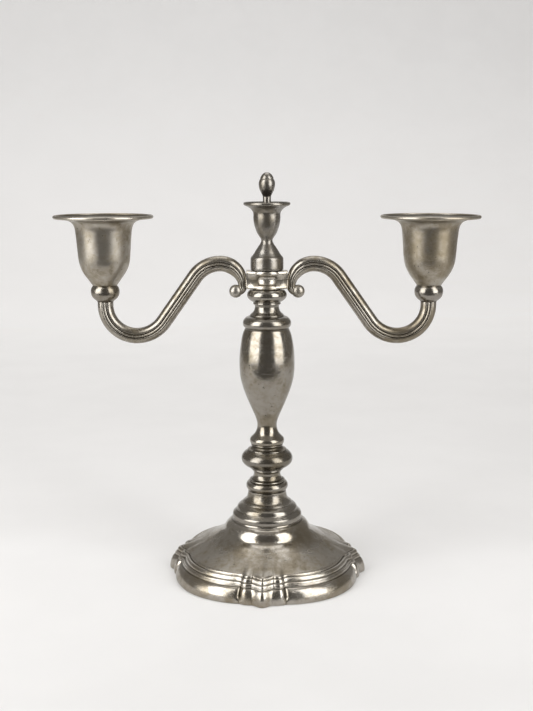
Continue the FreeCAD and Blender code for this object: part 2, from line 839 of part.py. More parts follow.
def make_arm(label, side):
    """One reeded arm: a constant run to the arch's top, then a tapering scroll."""
    place = arm_places()
    slope = size("rise_angle")
    body = make_body(label)

    def drawn(points):
        return [Vector(-side * p.x, p.y, 0) for p in points]

    run = make_sketch(body, "run")
    bend_outer = arc_about(
        place["bottom"] + Vector(0, size("bend_outer"), 0), size("bend_outer"), 180, 270
    )
    bend_inner = arc_about(
        place["bottom"] + Vector(0, size("bend_inner"), 0),
        size("bend_inner"), 270, 270 + slope,
    )
    arch_outer = arc_about(
        place["arch_top"] - Vector(0, size("arch_outer"), 0),
        size("arch_outer"), 90 + slope, 90,
    )
    run.addGeometry(Part.LineSegment(*drawn([place["end"], place["drop"]])), False)
    run.addGeometry(Part.Arc(*drawn(bend_outer)), False)
    run.addGeometry(Part.Arc(*drawn(bend_inner)), False)
    rise = drawn([place["rise_start"], place["rise_end"]])
    run.addGeometry(Part.LineSegment(*rise), False)
    run.addGeometry(Part.Arc(*drawn(arch_outer)), False)

    section = make_sketch(body, "section", "XY_Plane")
    bind(section, "AttachmentOffset.Base.z", "arm_end_height")
    section.AttachmentOffset = FreeCAD.Placement(
        Vector(side * size("arm_reach"), 0, size("arm_end_height")), FreeCAD.Rotation()
    )
    reeded_section(section, size("arm_half"), size("arm_half_wide"))
    sweep = body.newObject("PartDesign::AdditivePipe", f"{label}_sweep")
    sweep.Profile = section
    sweep.Spine = run
    sweep.Mode = "Binormal"
    sweep.Binormal = Vector(0, 1, 0)

    curl = make_sketch(body, "curl")
    arch_inner = arc_about(
        place["arch_top"] - Vector(0, size("arch_inner"), 0), size("arch_inner"), 90, 0
    )
    curl_centre = place["arch_end"] - Vector(size("curl_radius"), 0, 0)
    curled = arc_about(curl_centre, size("curl_radius"), 0, -90)
    curl.addGeometry(Part.Arc(*drawn(arch_inner)), False)
    curl.addGeometry(Part.Arc(*drawn(curled)), False)
    across = FreeCAD.Rotation(Vector(0, 0, 1), Vector(1, 0, 0))
    sections = []
    for name, centre, half, half_wide in (
        ("arch_section", place["arch_top"], size("arm_half"), size("arm_half_wide")),
        ("tail_section", curled[2], size("scroll_half"), size("scroll_half")),
    ):
        spot = drawn([centre])[0]
        cut = make_sketch(body, name, "YZ_Plane")
        cut.AttachmentOffset = FreeCAD.Placement(
            Vector(0, spot.y, spot.x), FreeCAD.Rotation(Vector(0, 0, 1), 90)
        )
        reeded_section(cut, half, half_wide)
        sections.append(cut)
    tail = body.newObject("PartDesign::AdditivePipe", f"{label}_scroll")
    tail.Profile = sections[0]
    tail.Spine = curl
    tail.Mode = "Binormal"
    tail.Binormal = Vector(0, 1, 0)
    tail.Transformation = "Multisection"
    tail.Sections = [sections[1]]

    ball = body.newObject("PartDesign::AdditiveSphere", f"{label}_ball")
    bind(ball, "Radius", "scroll_ball")
    spot = drawn([curled[2] + SCROLL_BALL_SHIFT])[0]
    ball.Placement = FreeCAD.Placement(Vector(spot.x, 0, spot.y), FreeCAD.Rotation())

    hole = make_sketch(body, "screw_hole", "XY_Plane")
    hole.AttachmentOffset = FreeCAD.Placement(
        Vector(side * size("arm_reach"), 0, size("arm_end_height")), FreeCAD.Rotation()
    )
    circle = Part.Circle(Vector(0, 0, 0), Vector(0, 0, 1), size("screw_radius"))
    hole.addGeometry(circle, False)
    drilled = body.newObject("PartDesign::Pocket", f"{label}_hole")
    drilled.Profile = hole
    bind(drilled, "Length", "screw_hole")
    return body


def make_candle_side(prefix, side):
    """Ball knop, cup, screw and lift-out nozzle on one candle axis."""
    ball_seat = "arm_end_height"
    cup_seat = "arm_end_height + ball_height"
    ball = turned(
        f"{prefix}_ball_knop",
        ball_seat,
        [
            ("screw_radius + 0.1", "0"),
            ("ball_radius - 3.2", "0"),
            ("ball_radius - 3.0", "0.4", 0.14),
            ("ball_radius - 0.9", "2.5", 0.26),
            ("ball_radius - 0.5", "7.8"),
            ("ball_radius - 1.2", "ball_height"),
            ("screw_radius + 0.1", "ball_height"),
        ],
    )
    rim = "cup_rim_radius"
    cup = turned(
        f"{prefix}_cup",
        cup_seat,
        [
            ("screw_radius + 0.1", "0"),
            ("cup_throat - 7.7", "0"),
            ("cup_throat - 5.1", "3.5", 0.13),
            ("cup_throat - 1.1", "10.8", 0.1),
            ("cup_throat", "17.5"),
            ("cup_throat + 0.8", "27.0", -0.05),
            ("cup_throat + 1.3", "31.0", -0.3),
            (f"{rim} - 8.6", "cup_height - 2.9"),
            (f"{rim} - 1.2", "cup_height - 1.5"),
            (f"{rim} - 0.6", "cup_height - 1.4", 0.9),
            (f"{rim} - 0.8", "cup_height"),
            (f"{rim} - 1.6", "cup_height - 0.5"),
            (f"{rim} - 9.0", "cup_height - 2.1", 0.3),
            ("cup_throat + 0.2", "31.0"),
            ("cup_throat - 0.3", "27.0"),
            ("cup_throat - 1.1", "17.5", -0.1),
            ("cup_throat - 2.2", "11.0", -0.13),
            ("cup_throat - 6.6", "3.4"),
            ("cup_throat - 8.0", "cup_floor"),
            ("screw_radius + 0.1", "cup_floor"),
        ],
    )
    shank = "screw_bite + ball_height + cup_floor"
    screw = turned(
        f"{prefix}_cup_screw",
        "arm_end_height - screw_bite",
        [
            ("0", "0"),
            ("screw_radius", "0"),
            ("screw_radius", shank),
            ("screw_head", shank),
            ("screw_head", f"{shank} + 0.7", 0.3),
            ("screw_head - 1.6", f"{shank} + 1.7"),
            ("0", f"{shank} + 1.7"),
        ],
    )
    outside = "candle_bore + nozzle_wall"
    nozzle = turned(
        f"{prefix}_nozzle",
        cup_seat + " + nozzle_seat",
        [
            ("candle_bore - 2.5", "0"),
            (outside, "0"),
            (outside, "nozzle_height - 1.6", -0.25),
            (outside + " + 1.2", "nozzle_height - 0.7"),
            (outside + " + 4.9", "nozzle_height + 0.5", 0.9),
            (outside + " + 4.7", "nozzle_height + 1.5"),
            (outside + " + 1.0", "nozzle_height + 0.3", 0.25),
            ("candle_bore", "nozzle_height - 0.5"),
            ("candle_bore", "1.2"),
            ("candle_bore - 2.5", "1.2"),
        ],
    )
    for body in (ball, cup, screw, nozzle):
        bind(body, "Placement.Base.x", f"{side} * arm_reach")
    return [ball, cup, screw, nozzle]


def build_parts():
    parts = [
        make_base_shell(),
        make_base_weight(),
        make_base_felt(),
        make_foot_collar(),
        make_stem_spool(),
        make_lower_ring(),
        make_knop(),
        make_step_ring(),
        make_baluster(),
        make_shoulder_collar(),
        make_socket_cap(),
        make_socket_tube(),
        make_tie_rod(),
        make_tie_rod_washer(),
        make_tie_rod_nut(),
        make_spigot_sleeve(),
        make_branch_spigot(),
        make_branch_stud(),
        make_hub_collar(),
        make_centre_urn(),
        make_acorn_finial(),
    ]
    for prefix, side in (("left", -1), ("right", 1)):
        parts.append(make_arm(f"{prefix}_arm", side))
        parts.extend(make_candle_side(prefix, side))
    return parts


def check_document():
    """Stop if any object of the document failed to recompute."""
    for item in doc.Objects:
        failed = [word for word in item.State if word in ("Invalid", "Error")]
        if failed:
            raise RuntimeError(f"{item.Label}: {item.State}")


def write_parts(parts):
    """Check each sub-part's shape and write it under its own label."""
    for part in parts:
        shape = part.Shape
        if shape.isNull() or not shape.isValid() or not shape.Solids:
            raise RuntimeError(f"{part.Label}: no valid solid")
    os.makedirs("parts", exist_ok=True)
    for part in parts:
        part.Shape.exportStep(f"parts/{part.Label}.step")
        box = part.Shape.BoundBox
        print(
            f"{part.Label:18s} {part.Shape.Volume:10.1f} mm3 "
            f"z {box.ZMin:7.2f} to {box.ZMax:7.2f} x {box.XMin:7.2f} to {box.XMax:7.2f}"
        )


all_parts = build_parts()
doc.recompute()
check_document()
write_parts(all_parts)
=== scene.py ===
"""Looks of the two-light table candelabra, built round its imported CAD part.

Every visible silver piece is a new fine mesh: turned pieces are lathed from an outline,
the arms are swept, and the foot is drawn as a stack of bracket-shaped levels. Outlines
are in millimetres and are fitted to the box of the CAD node that they stand for.
"""

import json
from math import atan2, ceil, cos, exp, pi, radians, sin, tan

import bpy
import numpy as np
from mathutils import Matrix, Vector, noise

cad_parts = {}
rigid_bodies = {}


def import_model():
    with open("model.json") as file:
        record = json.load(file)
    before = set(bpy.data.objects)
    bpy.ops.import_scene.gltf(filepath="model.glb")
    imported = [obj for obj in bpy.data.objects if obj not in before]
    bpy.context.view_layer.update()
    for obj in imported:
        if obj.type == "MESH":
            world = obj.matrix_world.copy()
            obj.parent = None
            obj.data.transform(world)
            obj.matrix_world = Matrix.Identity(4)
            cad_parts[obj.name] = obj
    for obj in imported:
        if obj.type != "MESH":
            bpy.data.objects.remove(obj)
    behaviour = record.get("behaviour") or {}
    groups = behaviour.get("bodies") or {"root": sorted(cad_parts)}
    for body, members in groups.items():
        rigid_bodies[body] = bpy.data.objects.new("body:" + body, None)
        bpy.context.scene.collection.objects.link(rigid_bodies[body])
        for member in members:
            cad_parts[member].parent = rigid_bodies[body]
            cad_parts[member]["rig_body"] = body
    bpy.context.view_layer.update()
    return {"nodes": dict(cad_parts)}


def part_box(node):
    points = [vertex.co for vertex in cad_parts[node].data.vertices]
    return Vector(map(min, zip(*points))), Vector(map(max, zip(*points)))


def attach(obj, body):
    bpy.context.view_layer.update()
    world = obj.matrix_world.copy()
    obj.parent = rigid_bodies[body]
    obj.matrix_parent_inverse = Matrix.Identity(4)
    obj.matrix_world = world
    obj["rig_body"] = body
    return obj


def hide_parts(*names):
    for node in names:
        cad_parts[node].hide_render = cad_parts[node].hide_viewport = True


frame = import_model()

MM = 0.001

# ---------------------------------------------------------------- mesh helpers

CORNER = 0.12  # mm, half the width of the rounding at a crisp corner
STEP = 0.8  # mm, longest step along an outline


def spline(points, step=STEP):
    """Dense points along a centripetal Catmull-Rom curve through the points."""
    points = [np.array(p, float) for p in points]
    if len(points) == 2:
        count = max(1, ceil(np.linalg.norm(points[1] - points[0]) / step))
        return [points[0] + (points[1] - points[0]) * i / count for i in range(count + 1)]
    ends = [2 * points[0] - points[1]], [2 * points[-1] - points[-2]]
    chain = ends[0] + points + ends[1]
    dense = [points[0]]
    for p0, p1, p2, p3 in zip(chain, chain[1:], chain[2:], chain[3:]):
        knots = [0.0]
        for a, b in ((p0, p1), (p1, p2), (p2, p3)):
            knots.append(knots[-1] + max(np.linalg.norm(b - a), 1e-6) ** 0.5)
        count = max(4, ceil(np.linalg.norm(p2 - p1) / step))
        for i in range(1, count + 1):
            t = knots[1] + (knots[2] - knots[1]) * i / count
            a1 = lean(p0, p1, knots[0], knots[1], t)
            a2 = lean(p1, p2, knots[1], knots[2], t)
            a3 = lean(p2, p3, knots[2], knots[3], t)
            b1 = lean(a1, a2, knots[0], knots[2], t)
            b2 = lean(a2, a3, knots[1], knots[3], t)
            dense.append(lean(b1, b2, knots[1], knots[2], t))
    return dense


def lean(a, b, start, end, t):
    return a + (b - a) * (t - start) / (end - start)


def outline(runs):
    """Dense outline through runs of points; runs meet at crisp, barely rounded corners."""
    dense = []
    start = None
    for run in runs:
        points = ([start] if start else []) + list(run)
        start = run[-1]
        if len(points) < 2:
            continue
        stretch = spline(points)
        first, last = stretch[0], stretch[-1]
        near_first = first + (stretch[1] - first) * support(first, stretch[1])
        near_last = last + (stretch[-2] - last) * support(last, stretch[-2])
        dense += [first, near_first] + stretch[1:-1] + [near_last]
    end = np.array(start, float)
    if np.linalg.norm(end - dense[0]) > 1e-6:
        dense.append(end)
    return dense


def support(corner, following):
    """How far along an edge its support point sits, as a share."""
    return min(0.4, CORNER / max(np.linalg.norm(following - corner), 1e-6))


def new_mesh(name, vertices, faces):
    """A smooth-shaded mesh object from millimetre points."""
    mesh = bpy.data.meshes.new(name)
    mesh.from_pydata([Vector(v) * MM for v in vertices], [], faces)
    mesh.validate()
    mesh.shade_smooth()
    piece = bpy.data.objects.new(name, mesh)
    bpy.context.scene.collection.objects.link(piece)
    return piece


def grid_faces(rows, columns, close_rows=False):
    """Faces between rows of points; each row is a closed ring."""
    faces = []
    for row in range(rows if close_rows else rows - 1):
        above = (row + 1) % rows
        for column in range(columns):
            beside = (column + 1) % columns
            faces.append((
                row * columns + column, row * columns + beside,
                above * columns + beside, above * columns + column,
            ))
    return faces


def capped_faces(rows, columns, turned_over):
    """Faces of a swept piece: its rings, and a flat cap at each end."""
    faces = grid_faces(rows, columns)
    last = (rows - 1) * columns
    faces.append(tuple(range(columns))[::-1])
    faces.append(tuple(range(last, last + columns)))
    return [face[::-1] for face in faces] if turned_over else faces


GROOVE_FULL = 0.9  # 1/mm, concave curvature that counts as a full groove
EDGE_FULL = 1.6  # 1/mm, convex curvature that counts as a full edge


def mark_wear(piece, rounds=5):
    """Store how hollow and how sharp the surface is at each point, for the finish."""
    mesh = piece.data
    count = len(mesh.vertices)
    place = np.zeros(count * 3)
    mesh.vertices.foreach_get("co", place)
    place = place.reshape(-1, 3) / MM
    normal = np.zeros(count * 3)
    mesh.vertex_normals.foreach_get("vector", normal)
    normal = normal.reshape(-1, 3)
    edges = np.zeros(len(mesh.edges) * 2, int)
    mesh.edges.foreach_get("vertices", edges)
    a, b = edges.reshape(-1, 2).T
    way = place[b] - place[a]
    square = np.maximum((way * way).sum(1), 1e-4)
    at_a = 2 * (way * normal[a]).sum(1) / square
    at_b = -2 * (way * normal[b]).sum(1) / square
    links = np.maximum(np.bincount(a, minlength=count) + np.bincount(b, minlength=count), 1)

    def spread(start_a, start_b):
        total = np.bincount(a, start_a, count) + np.bincount(b, start_b, count)
        return total / links

    bend = spread(at_a, at_b)
    for name, value in (
        ("groove", np.clip(bend / GROOVE_FULL, 0, 1)),
        ("edge", np.clip(-bend / EDGE_FULL, 0, 1)),
    ):
        for _ in range(rounds):
            value = 0.5 * value + 0.5 * spread(value[b], value[a])
        layer = mesh.attributes.new(name, "FLOAT", "POINT")
        layer.data.foreach_set("value", value.astype(np.float32))


def dress(piece, body, material):
    """Hang a piece on a body, with its finish."""
    piece.data.materials.append(material)
    mark_wear(piece)
    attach(piece, body)


def finish_piece(piece, node, material):
    """Hang a piece on its node's body, in that node's place, with its finish."""
    dress(piece, frame["nodes"][node]["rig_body"], material)
    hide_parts(node)


def wobble(point, seed, reach, depth):
    """A soft dent or swelling at a point, in mm, from smooth seeded noise."""
    return depth * noise.noise(Vector(point) / reach + Vector((seed, 0.37 * seed, -seed)))


def lathe(
    name, node, runs, material, segments=144, dent=0.03, inside=None
):
    """A turned piece: the outline is fitted to the node's box and turned on its axis.

    The outline goes from the foot of the outside up, and back down the inside.
    A point on the axis closes the piece there. Runs from number inside on are the
    hollow's surface, which is painted in shade: dull and near black."""
    low, high = (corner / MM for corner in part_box(node))
    centre = (low + high) / 2
    radius = min(high.x - low.x, high.y - low.y) / 2
    dense = outline(runs)
    hollow_shade_from = len(outline(runs[:inside])) if inside else len(dense)
    greatest = max(p[0] for p in dense)
    lowest = min(p[1] for p in dense)
    tallest = max(p[1] for p in dense) - lowest
    seed = 1 + sum(ord(letter) for letter in name) % 97
    vertices, faces, rings, hollow_shade = [], [], [], []
    for number, (r, z) in enumerate(dense):
        r *= radius / greatest
        z = low.z + (z - lowest) * (high.z - low.z) / tallest
        in_shade = float(number >= hollow_shade_from)
        if r < 1e-6:
            rings.append([len(vertices)])
            vertices.append((centre.x, centre.y, z))
            hollow_shade.append(in_shade)
            continue
        rings.append(range(len(vertices), len(vertices) + segments))
        hollow_shade += [in_shade] * segments
        for column in range(segments):
            turn = 2 * pi * column / segments
            spot = (r * cos(turn), r * sin(turn), z)
            push = min(0.0, wobble(spot, seed, 9, 2 * dent) - dent)
            share = (r + push) / r
            vertices.append((centre.x + spot[0] * share, centre.y + spot[1] * share, z))
    closed = len(rings[0]) > 1 and len(rings[-1]) > 1
    pairs = list(zip(rings, rings[1:])) + ([(rings[-1], rings[0])] if closed else [])
    for below, above in pairs:
        for column in range(segments):
            beside = (column + 1) % segments
            if len(below) == 1:
                faces.append((below[0], above[beside], above[column]))
            elif len(above) == 1:
                faces.append((below[column], below[beside], above[0]))
            else:
                faces.append((below[column], below[beside], above[beside], above[column]))
    piece = new_mesh(name, vertices, faces)
    # The hollow's points, which the finish paints in shade.
    layer = piece.data.attributes.new("hollow_shade", "FLOAT", "POINT")
    layer.data.foreach_set("value", hollow_shade)
    finish_piece(piece, node, material)


# ---------------------------------------------------------------- materials


class Shader:
    """A node tree under construction, with short calls for the nodes used here."""

    def __init__(self, name):
        self.material = bpy.data.materials.new(name)
        self.material.use_nodes = True
        self.tree = self.material.node_tree
        self.surface = self.tree.nodes["Principled BSDF"]

    def add(self, kind, **settings):
        made = self.tree.nodes.new(kind)
        for setting, value in settings.items():
            setattr(made, setting, value)
        return made

    def join(self, source, target):
        self.tree.links.new(source, target)

    def put(self, socket, value):
        """Set a socket to a number or colour, or link it to another socket."""
        if isinstance(value, bpy.types.NodeSocket):
            self.join(value, socket)
        else:
            socket.default_value = value

    def place(self, scale=(1, 1, 1), offset=(0, 0, 0), turn=(0, 0, 0)):
        """The object's own coordinates, in metres, stretched and turned."""
        source = self.add("ShaderNodeTexCoord").outputs["Object"]
        mapping = self.add("ShaderNodeMapping")
        self.join(source, mapping.inputs["Vector"])
        mapping.inputs["Scale"].default_value = scale
        mapping.inputs["Location"].default_value = offset
        mapping.inputs["Rotation"].default_value = [radians(a) for a in turn]
        return mapping.outputs["Vector"]

    def cloud(self, place, scale, detail=4.0, rough=0.55, twist=0.0):
        made = self.add("ShaderNodeTexNoise")
        self.join(place, made.inputs["Vector"])
        made.inputs["Scale"].default_value = scale
        made.inputs["Detail"].default_value = detail
        made.inputs["Roughness"].default_value = rough
        made.inputs["Distortion"].default_value = twist
        return made.outputs["Fac"]

    def ramp(self, value, low, high, out_low=0.0, out_high=1.0):
        """Stretch a value from one span to another, with soft ends."""
        made = self.add("ShaderNodeMapRange", interpolation_type="SMOOTHSTEP")
        self.put(made.inputs["Value"], value)
        made.inputs["From Min"].default_value = low
        made.inputs["From Max"].default_value = high
        made.inputs["To Min"].default_value = out_low
        made.inputs["To Max"].default_value = out_high
        return made.outputs["Result"]

    def math(self, operation, first, second=0.0, clamp=False):
        made = self.add("ShaderNodeMath", operation=operation, use_clamp=clamp)
        self.put(made.inputs[0], first)
        self.put(made.inputs[1], second)
        return made.outputs[0]

    def mix(self, share, first, second):
        """Mix two colours."""
        made = self.add("ShaderNodeMix", data_type="RGBA")
        self.put(made.inputs["Factor"], share)
        sockets = [s for s in made.inputs if s.type == "RGBA"]
        self.put(sockets[0], first)
        self.put(sockets[1], second)
        return next(s for s in made.outputs if s.type == "RGBA")

    def layer(self, name):
        return self.add("ShaderNodeAttribute", attribute_name=name).outputs["Fac"]

    def bump(self, height, distance, strength=1.0, under=None):
        made = self.add("ShaderNodeBump")
        made.inputs["Strength"].default_value = strength
        made.inputs["Distance"].default_value = distance
        self.join(height, made.inputs["Height"])
        if under is not None:
            self.join(under, made.inputs["Normal"])
        return made.outputs["Normal"]


def grey(level, warmth=0.0):
    """A colour of one lightness, warmer or cooler by a share."""
    return (level * (1 + warmth), level, level * (1 - 1.6 * warmth), 1.0)


def scratch_lines(shader, turn, along, density, seed):
    """Fine straight scratches in one direction: 1 on a line, 0 off it."""
    place = shader.place((along, 1, 1), (seed, 0, 0), turn)
    lines = shader.cloud(place, density, 2.0, 0.5)
    near = shader.math("ABSOLUTE", shader.math("SUBTRACT", lines, 0.5))
    thin = shader.ramp(near, 0.0, 0.012, 1.0, 0.0)
    patch = shader.ramp(shader.cloud(shader.place(offset=(seed, 3, 1)), 90, 2), 0.5, 0.62)
    return shader.math("MULTIPLY", thin, patch)


def silver(
    name, seed, clean, stained, warmth=0.16, gloss=(0.2, 0.34), haze=0.5, soil=0.9, shine=None
):
    """Old silver plate: a stained skin over bright metal, dark in its grooves.

    Shine is four heights in metres: the metal is dull from the second to the third,
    and glossy below the first and above the fourth."""
    shader = Shader(name)
    here = shader.place(offset=(seed, 2 * seed, -seed))
    broad = shader.cloud(here, 38, 5, 0.6, 0.6)
    mottle = shader.cloud(here, 260, 5, 0.65, 0.3)
    fine = shader.cloud(here, 1500, 3, 0.6)
    groove = shader.layer("groove")
    edge = shader.layer("edge")

    # Stains: broad clouds broken up by a finer mottle.
    broken = shader.math("MULTIPLY", mottle, 0.38)
    stain = shader.math("ADD", shader.math("MULTIPLY", broad, 0.62), broken)
    stain = shader.ramp(stain, 0.5 - 0.14 * haze, 0.5 + 0.12)
    colour = shader.mix(stain, grey(clean, 0.45 * warmth), grey(stained, warmth))
    freckles = shader.ramp(mottle, 0.6, 0.72, 0.0, 0.55)
    colour = shader.mix(freckles, colour, grey(0.62 * stained, 1.25 * warmth))
    pits = shader.ramp(shader.cloud(here, 900, 1, 0.5), 0.71, 0.78)
    colour = shader.mix(pits, colour, grey(0.09, 0.1))
    lines = shader.math(
        "MAXIMUM",
        scratch_lines(shader, (20, 35, 10), 0.05, 700, seed),
        scratch_lines(shader, (70, -25, 50), 0.04, 600, seed + 4),
    )
    colour = shader.mix(shader.math("MULTIPLY", lines, 0.5), colour, grey(1.3 * clean, 0.05))
    # Polishing wears the edges bright and leaves oxide in the hollows.
    worn = shader.math("MULTIPLY", edge, shader.ramp(mottle, 0.3, 0.6, 0.5, 1.0))
    colour = shader.mix(shader.math("MULTIPLY", worn, 0.7), colour, grey(1.5 * clean, 0.07))
    dirt = shader.math("MULTIPLY", groove, shader.ramp(broad, 0.2, 0.6, 0.8, 1.25), clamp=True)
    dirt = shader.ramp(dirt, 0.06, 0.6, 0.0, soil)
    colour = shader.mix(dirt, colour, grey(0.035, 0.25))
    # Painted shade in the hollows: their surface is painted a dull near-black skin, not metal.
    hollow_shade = shader.math("MULTIPLY", shader.layer("hollow_shade"), shader.ramp(mottle, 0.25, 0.7, 0.95, 0.7))
    colour = shader.mix(hollow_shade, colour, grey(0.02, 0.2))
    shader.join(shader.math("SUBTRACT", 1.0, hollow_shade), shader.surface.inputs["Metallic"])
    shader.surface.inputs["Specular IOR Level"].default_value = 0.2
    shader.join(colour, shader.surface.inputs["Base Color"])

    patchy = shader.math("ADD", mottle, shader.math("MULTIPLY", broad, 0.6))
    rough = shader.ramp(patchy, 0.55, 1.05, *gloss)
    if shine:
        height = shader.add("ShaderNodeSeparateXYZ")
        shader.join(shader.place(), height.inputs[0])
        below = shader.ramp(height.outputs["Z"], shine[0], shine[1], 0.62, 1.0)
        above = shader.ramp(height.outputs["Z"], shine[2], shine[3], 1.0, 0.4)
        rough = shader.math("MULTIPLY", rough, shader.math("MULTIPLY", below, above))
    rough = shader.math("SUBTRACT", rough, shader.math("MULTIPLY", worn, 0.14))
    rough = shader.math("ADD", rough, shader.math("MULTIPLY", dirt, 0.22))
    rough = shader.math("ADD", rough, shader.math("MULTIPLY", pits, 0.2))
    rough = shader.math("ADD", rough, shader.math("MULTIPLY", fine, 0.05), clamp=True)
    shader.join(rough, shader.surface.inputs["Roughness"])

    turned_marks = shader.cloud(shader.place((0.02, 0.02, 1), (0, 0, seed)), 2600, 2, 0.6)
    normal = shader.bump(shader.cloud(here, 110, 3, 0.5), 0.00010)
    normal = shader.bump(turned_marks, 0.0000025, under=normal)
    height = shader.math("SUBTRACT", shader.math("MULTIPLY", fine, 0.35), lines)
    height = shader.math("SUBTRACT", height, shader.math("MULTIPLY", pits, 1.5))
    normal = shader.bump(height, 0.000012, under=normal)
    shader.join(normal, shader.surface.inputs["Normal"])
    return shader.material


def plain_metal(name, colour, dark, gloss, seed, line_turn=(0, 0, 0)):
    """Brass or steel hardware: drawn lines, a little tarnish, no plating."""
    shader = Shader(name)
    here = shader.place(offset=(seed, -seed, seed))
    cloud = shader.cloud(here, 140, 5, 0.6, 0.4)
    marks = shader.cloud(shader.place((1, 1, 0.03), (seed, 0, 0), line_turn), 1800, 3, 0.6)
    stain = shader.ramp(cloud, 0.42, 0.7)
    tone = shader.mix(stain, colour, dark)
    tone = shader.mix(shader.ramp(marks, 0.5, 0.75, 0.0, 0.35), tone, dark)
    shader.join(tone, shader.surface.inputs["Base Color"])
    rough = shader.ramp(shader.math("ADD", cloud, marks), 0.7, 1.3, *gloss)
    shader.join(rough, shader.surface.inputs["Roughness"])
    normal = shader.bump(marks, 0.000006)
    normal = shader.bump(cloud, 0.00003, under=normal)
    shader.join(normal, shader.surface.inputs["Normal"])
    shader.surface.inputs["Metallic"].default_value = 1.0
    return shader.material


def felt_cloth():
    """Dark green felt: matted fibres, a little fluff and dust."""
    shader = Shader("green_felt")
    here = shader.place()
    fibres = shader.cloud(here, 1400, 6, 0.75, 1.5)
    clumps = shader.cloud(here, 220, 4, 0.6, 0.8)
    worn = shader.cloud(here, 45, 3, 0.5)
    colour = shader.mix(shader.ramp(fibres, 0.3, 0.7), (0.006, 0.022, 0.014, 1), (0.03, 0.075, 0.05, 1))
    colour = shader.mix(shader.ramp(worn, 0.5, 0.75, 0.0, 0.5), colour, (0.075, 0.09, 0.07, 1))
    shader.join(colour, shader.surface.inputs["Base Color"])
    shader.join(shader.ramp(clumps, 0.3, 0.7, 0.82, 1.0), shader.surface.inputs["Roughness"])
    normal = shader.bump(clumps, 0.0003)
    normal = shader.bump(fibres, 0.0002, under=normal)
    shader.join(normal, shader.surface.inputs["Normal"])
    shader.surface.inputs["Sheen Weight"].default_value = 0.4
    shader.surface.inputs["Sheen Roughness"].default_value = 0.5
    return shader.material


def cast_filler():
    """Pitch and plaster filler inside the foot: gritty, dull, brown-black."""
    shader = Shader("cast_filler")
    here = shader.place()
    grit = shader.cloud(here, 500, 6, 0.7)
    broad = shader.cloud(here, 60, 4, 0.6)
    colour = shader.mix(shader.ramp(broad, 0.35, 0.65), (0.035, 0.028, 0.022, 1), (0.09, 0.075, 0.06, 1))
    colour = shader.mix(shader.ramp(grit, 0.55, 0.75), colour, (0.2, 0.18, 0.15, 1))
    shader.join(colour, shader.surface.inputs["Base Color"])
    shader.join(shader.ramp(grit, 0.3, 0.7, 0.6, 0.9), shader.surface.inputs["Roughness"])
    shader.join(shader.bump(grit, 0.0004), shader.surface.inputs["Normal"])
    return shader.material


DULL_BAND = (0.0125, 0.0145, 0.0175, 0.0225)  # m, heights: the flatter part of the dome is dull
SILVER_FOOT = silver("foot_silver", 3.1, 0.36, 0.22, 0.16, (0.25, 0.41), shine=DULL_BAND)
SILVER_STEM = silver("stem_silver", 7.7, 0.26, 0.16, 0.17, (0.14, 0.28))
SILVER_KNOP = silver("knop_silver", 10.2, 0.20, 0.13, 0.17, (0.16, 0.28), haze=0.6)
SILVER_BALUSTER = silver("baluster_silver", 12.4, 0.28, 0.175, 0.17, (0.12, 0.24), haze=0.7)
SILVER_URN = silver("urn_silver", 17.9, 0.25, 0.16, 0.13, (0.22, 0.34))
SILVER_ARMS = silver("arm_silver", 22.3, 0.29, 0.165, 0.19, (0.20, 0.36), soil=1.0)
SILVER_SCROLLS = silver("scroll_silver", 25.2, 0.32, 0.22, 0.16, (0.30, 0.44))
SILVER_CUPS = silver("cup_silver", 28.6, 0.36, 0.20, 0.19, (0.26, 0.42), haze=0.9)
SILVER_HUB = silver("hub_silver", 33.8, 0.43, 0.30, 0.14, (0.20, 0.34), haze=0.4, soil=0.75)
SILVER_NOZZLES = silver("lift_out_silver", 39.5, 0.36, 0.25, 0.14, (0.16, 0.30))
BRASS = plain_metal("aged_brass", (0.60, 0.42, 0.17, 1), (0.22, 0.14, 0.06, 1), (0.22, 0.42), 2.5)
STEEL = plain_metal("zinc_steel", (0.46, 0.46, 0.47, 1), (0.20, 0.19, 0.18, 1), (0.25, 0.45), 5.5)
FELT = felt_cloth()
FILLER = cast_filler()

# ---------------------------------------------------------------- the foot

# Angles from a bracket's middle, in degrees.
TIP_HALF = 6.2
FLANK_END = 7.0
NOTCH_ANGLE = 13.8
SIDE_MIDDLE = 45.0
FOOT_TURN = -2.9

# The foot's driving sizes, in mm.
OUTER_TIP = 55.6  # radius at a bracket's tip, at the table
TIP_SPARE = 0.05  # added to that radius, and lost again to the dents
DOME_EDGE = 45.9  # plain radius of the dome's edge
PLAIN_BAND = 8.6  # width of the mouldings where they don't follow the table's outline
CREASE_FOOT = 4.2  # heights between which the crease is deepest
CREASE_TOP = 7.6
BRACKETS_FADE_FROM = 44.9  # radii over which the brackets die away up the dome
BRACKETS_FADE_TO = 33.0
DENTED_OUTSIDE = 17.0  # radius outside which the shell is dented
V_ROUNDING = 0.2  # share of the V's half width that is rounded at its point
V_SPAN = 0.82  # the rounded share where the V meets its flank


def inner_outline(angle):
    """Radius of the dome's edge: a V between two bowed lobes, then a small cusp."""
    tip, flank, notch, side = 48.9, 45.7, 45.3, 46.4
    if angle < FLANK_END:
        rounded = ((angle / FLANK_END) ** 2 + V_ROUNDING ** 2) ** 0.5 - V_ROUNDING
        return flank + (tip - flank) * max(0.0, 1 - rounded / V_SPAN) ** 1.3
    if angle < NOTCH_ANGLE:
        share = (angle - FLANK_END) / (NOTCH_ANGLE - FLANK_END)
        return flank + (notch - flank) * share + 1.1 * sin(pi * share)
    share = (SIDE_MIDDLE - angle) / (SIDE_MIDDLE - NOTCH_ANGLE)
    cusp = 0.9 * exp(-(angle - NOTCH_ANGLE) / 1.6)
    return side - (side - notch + 0.9) * share ** 1.6 + cusp


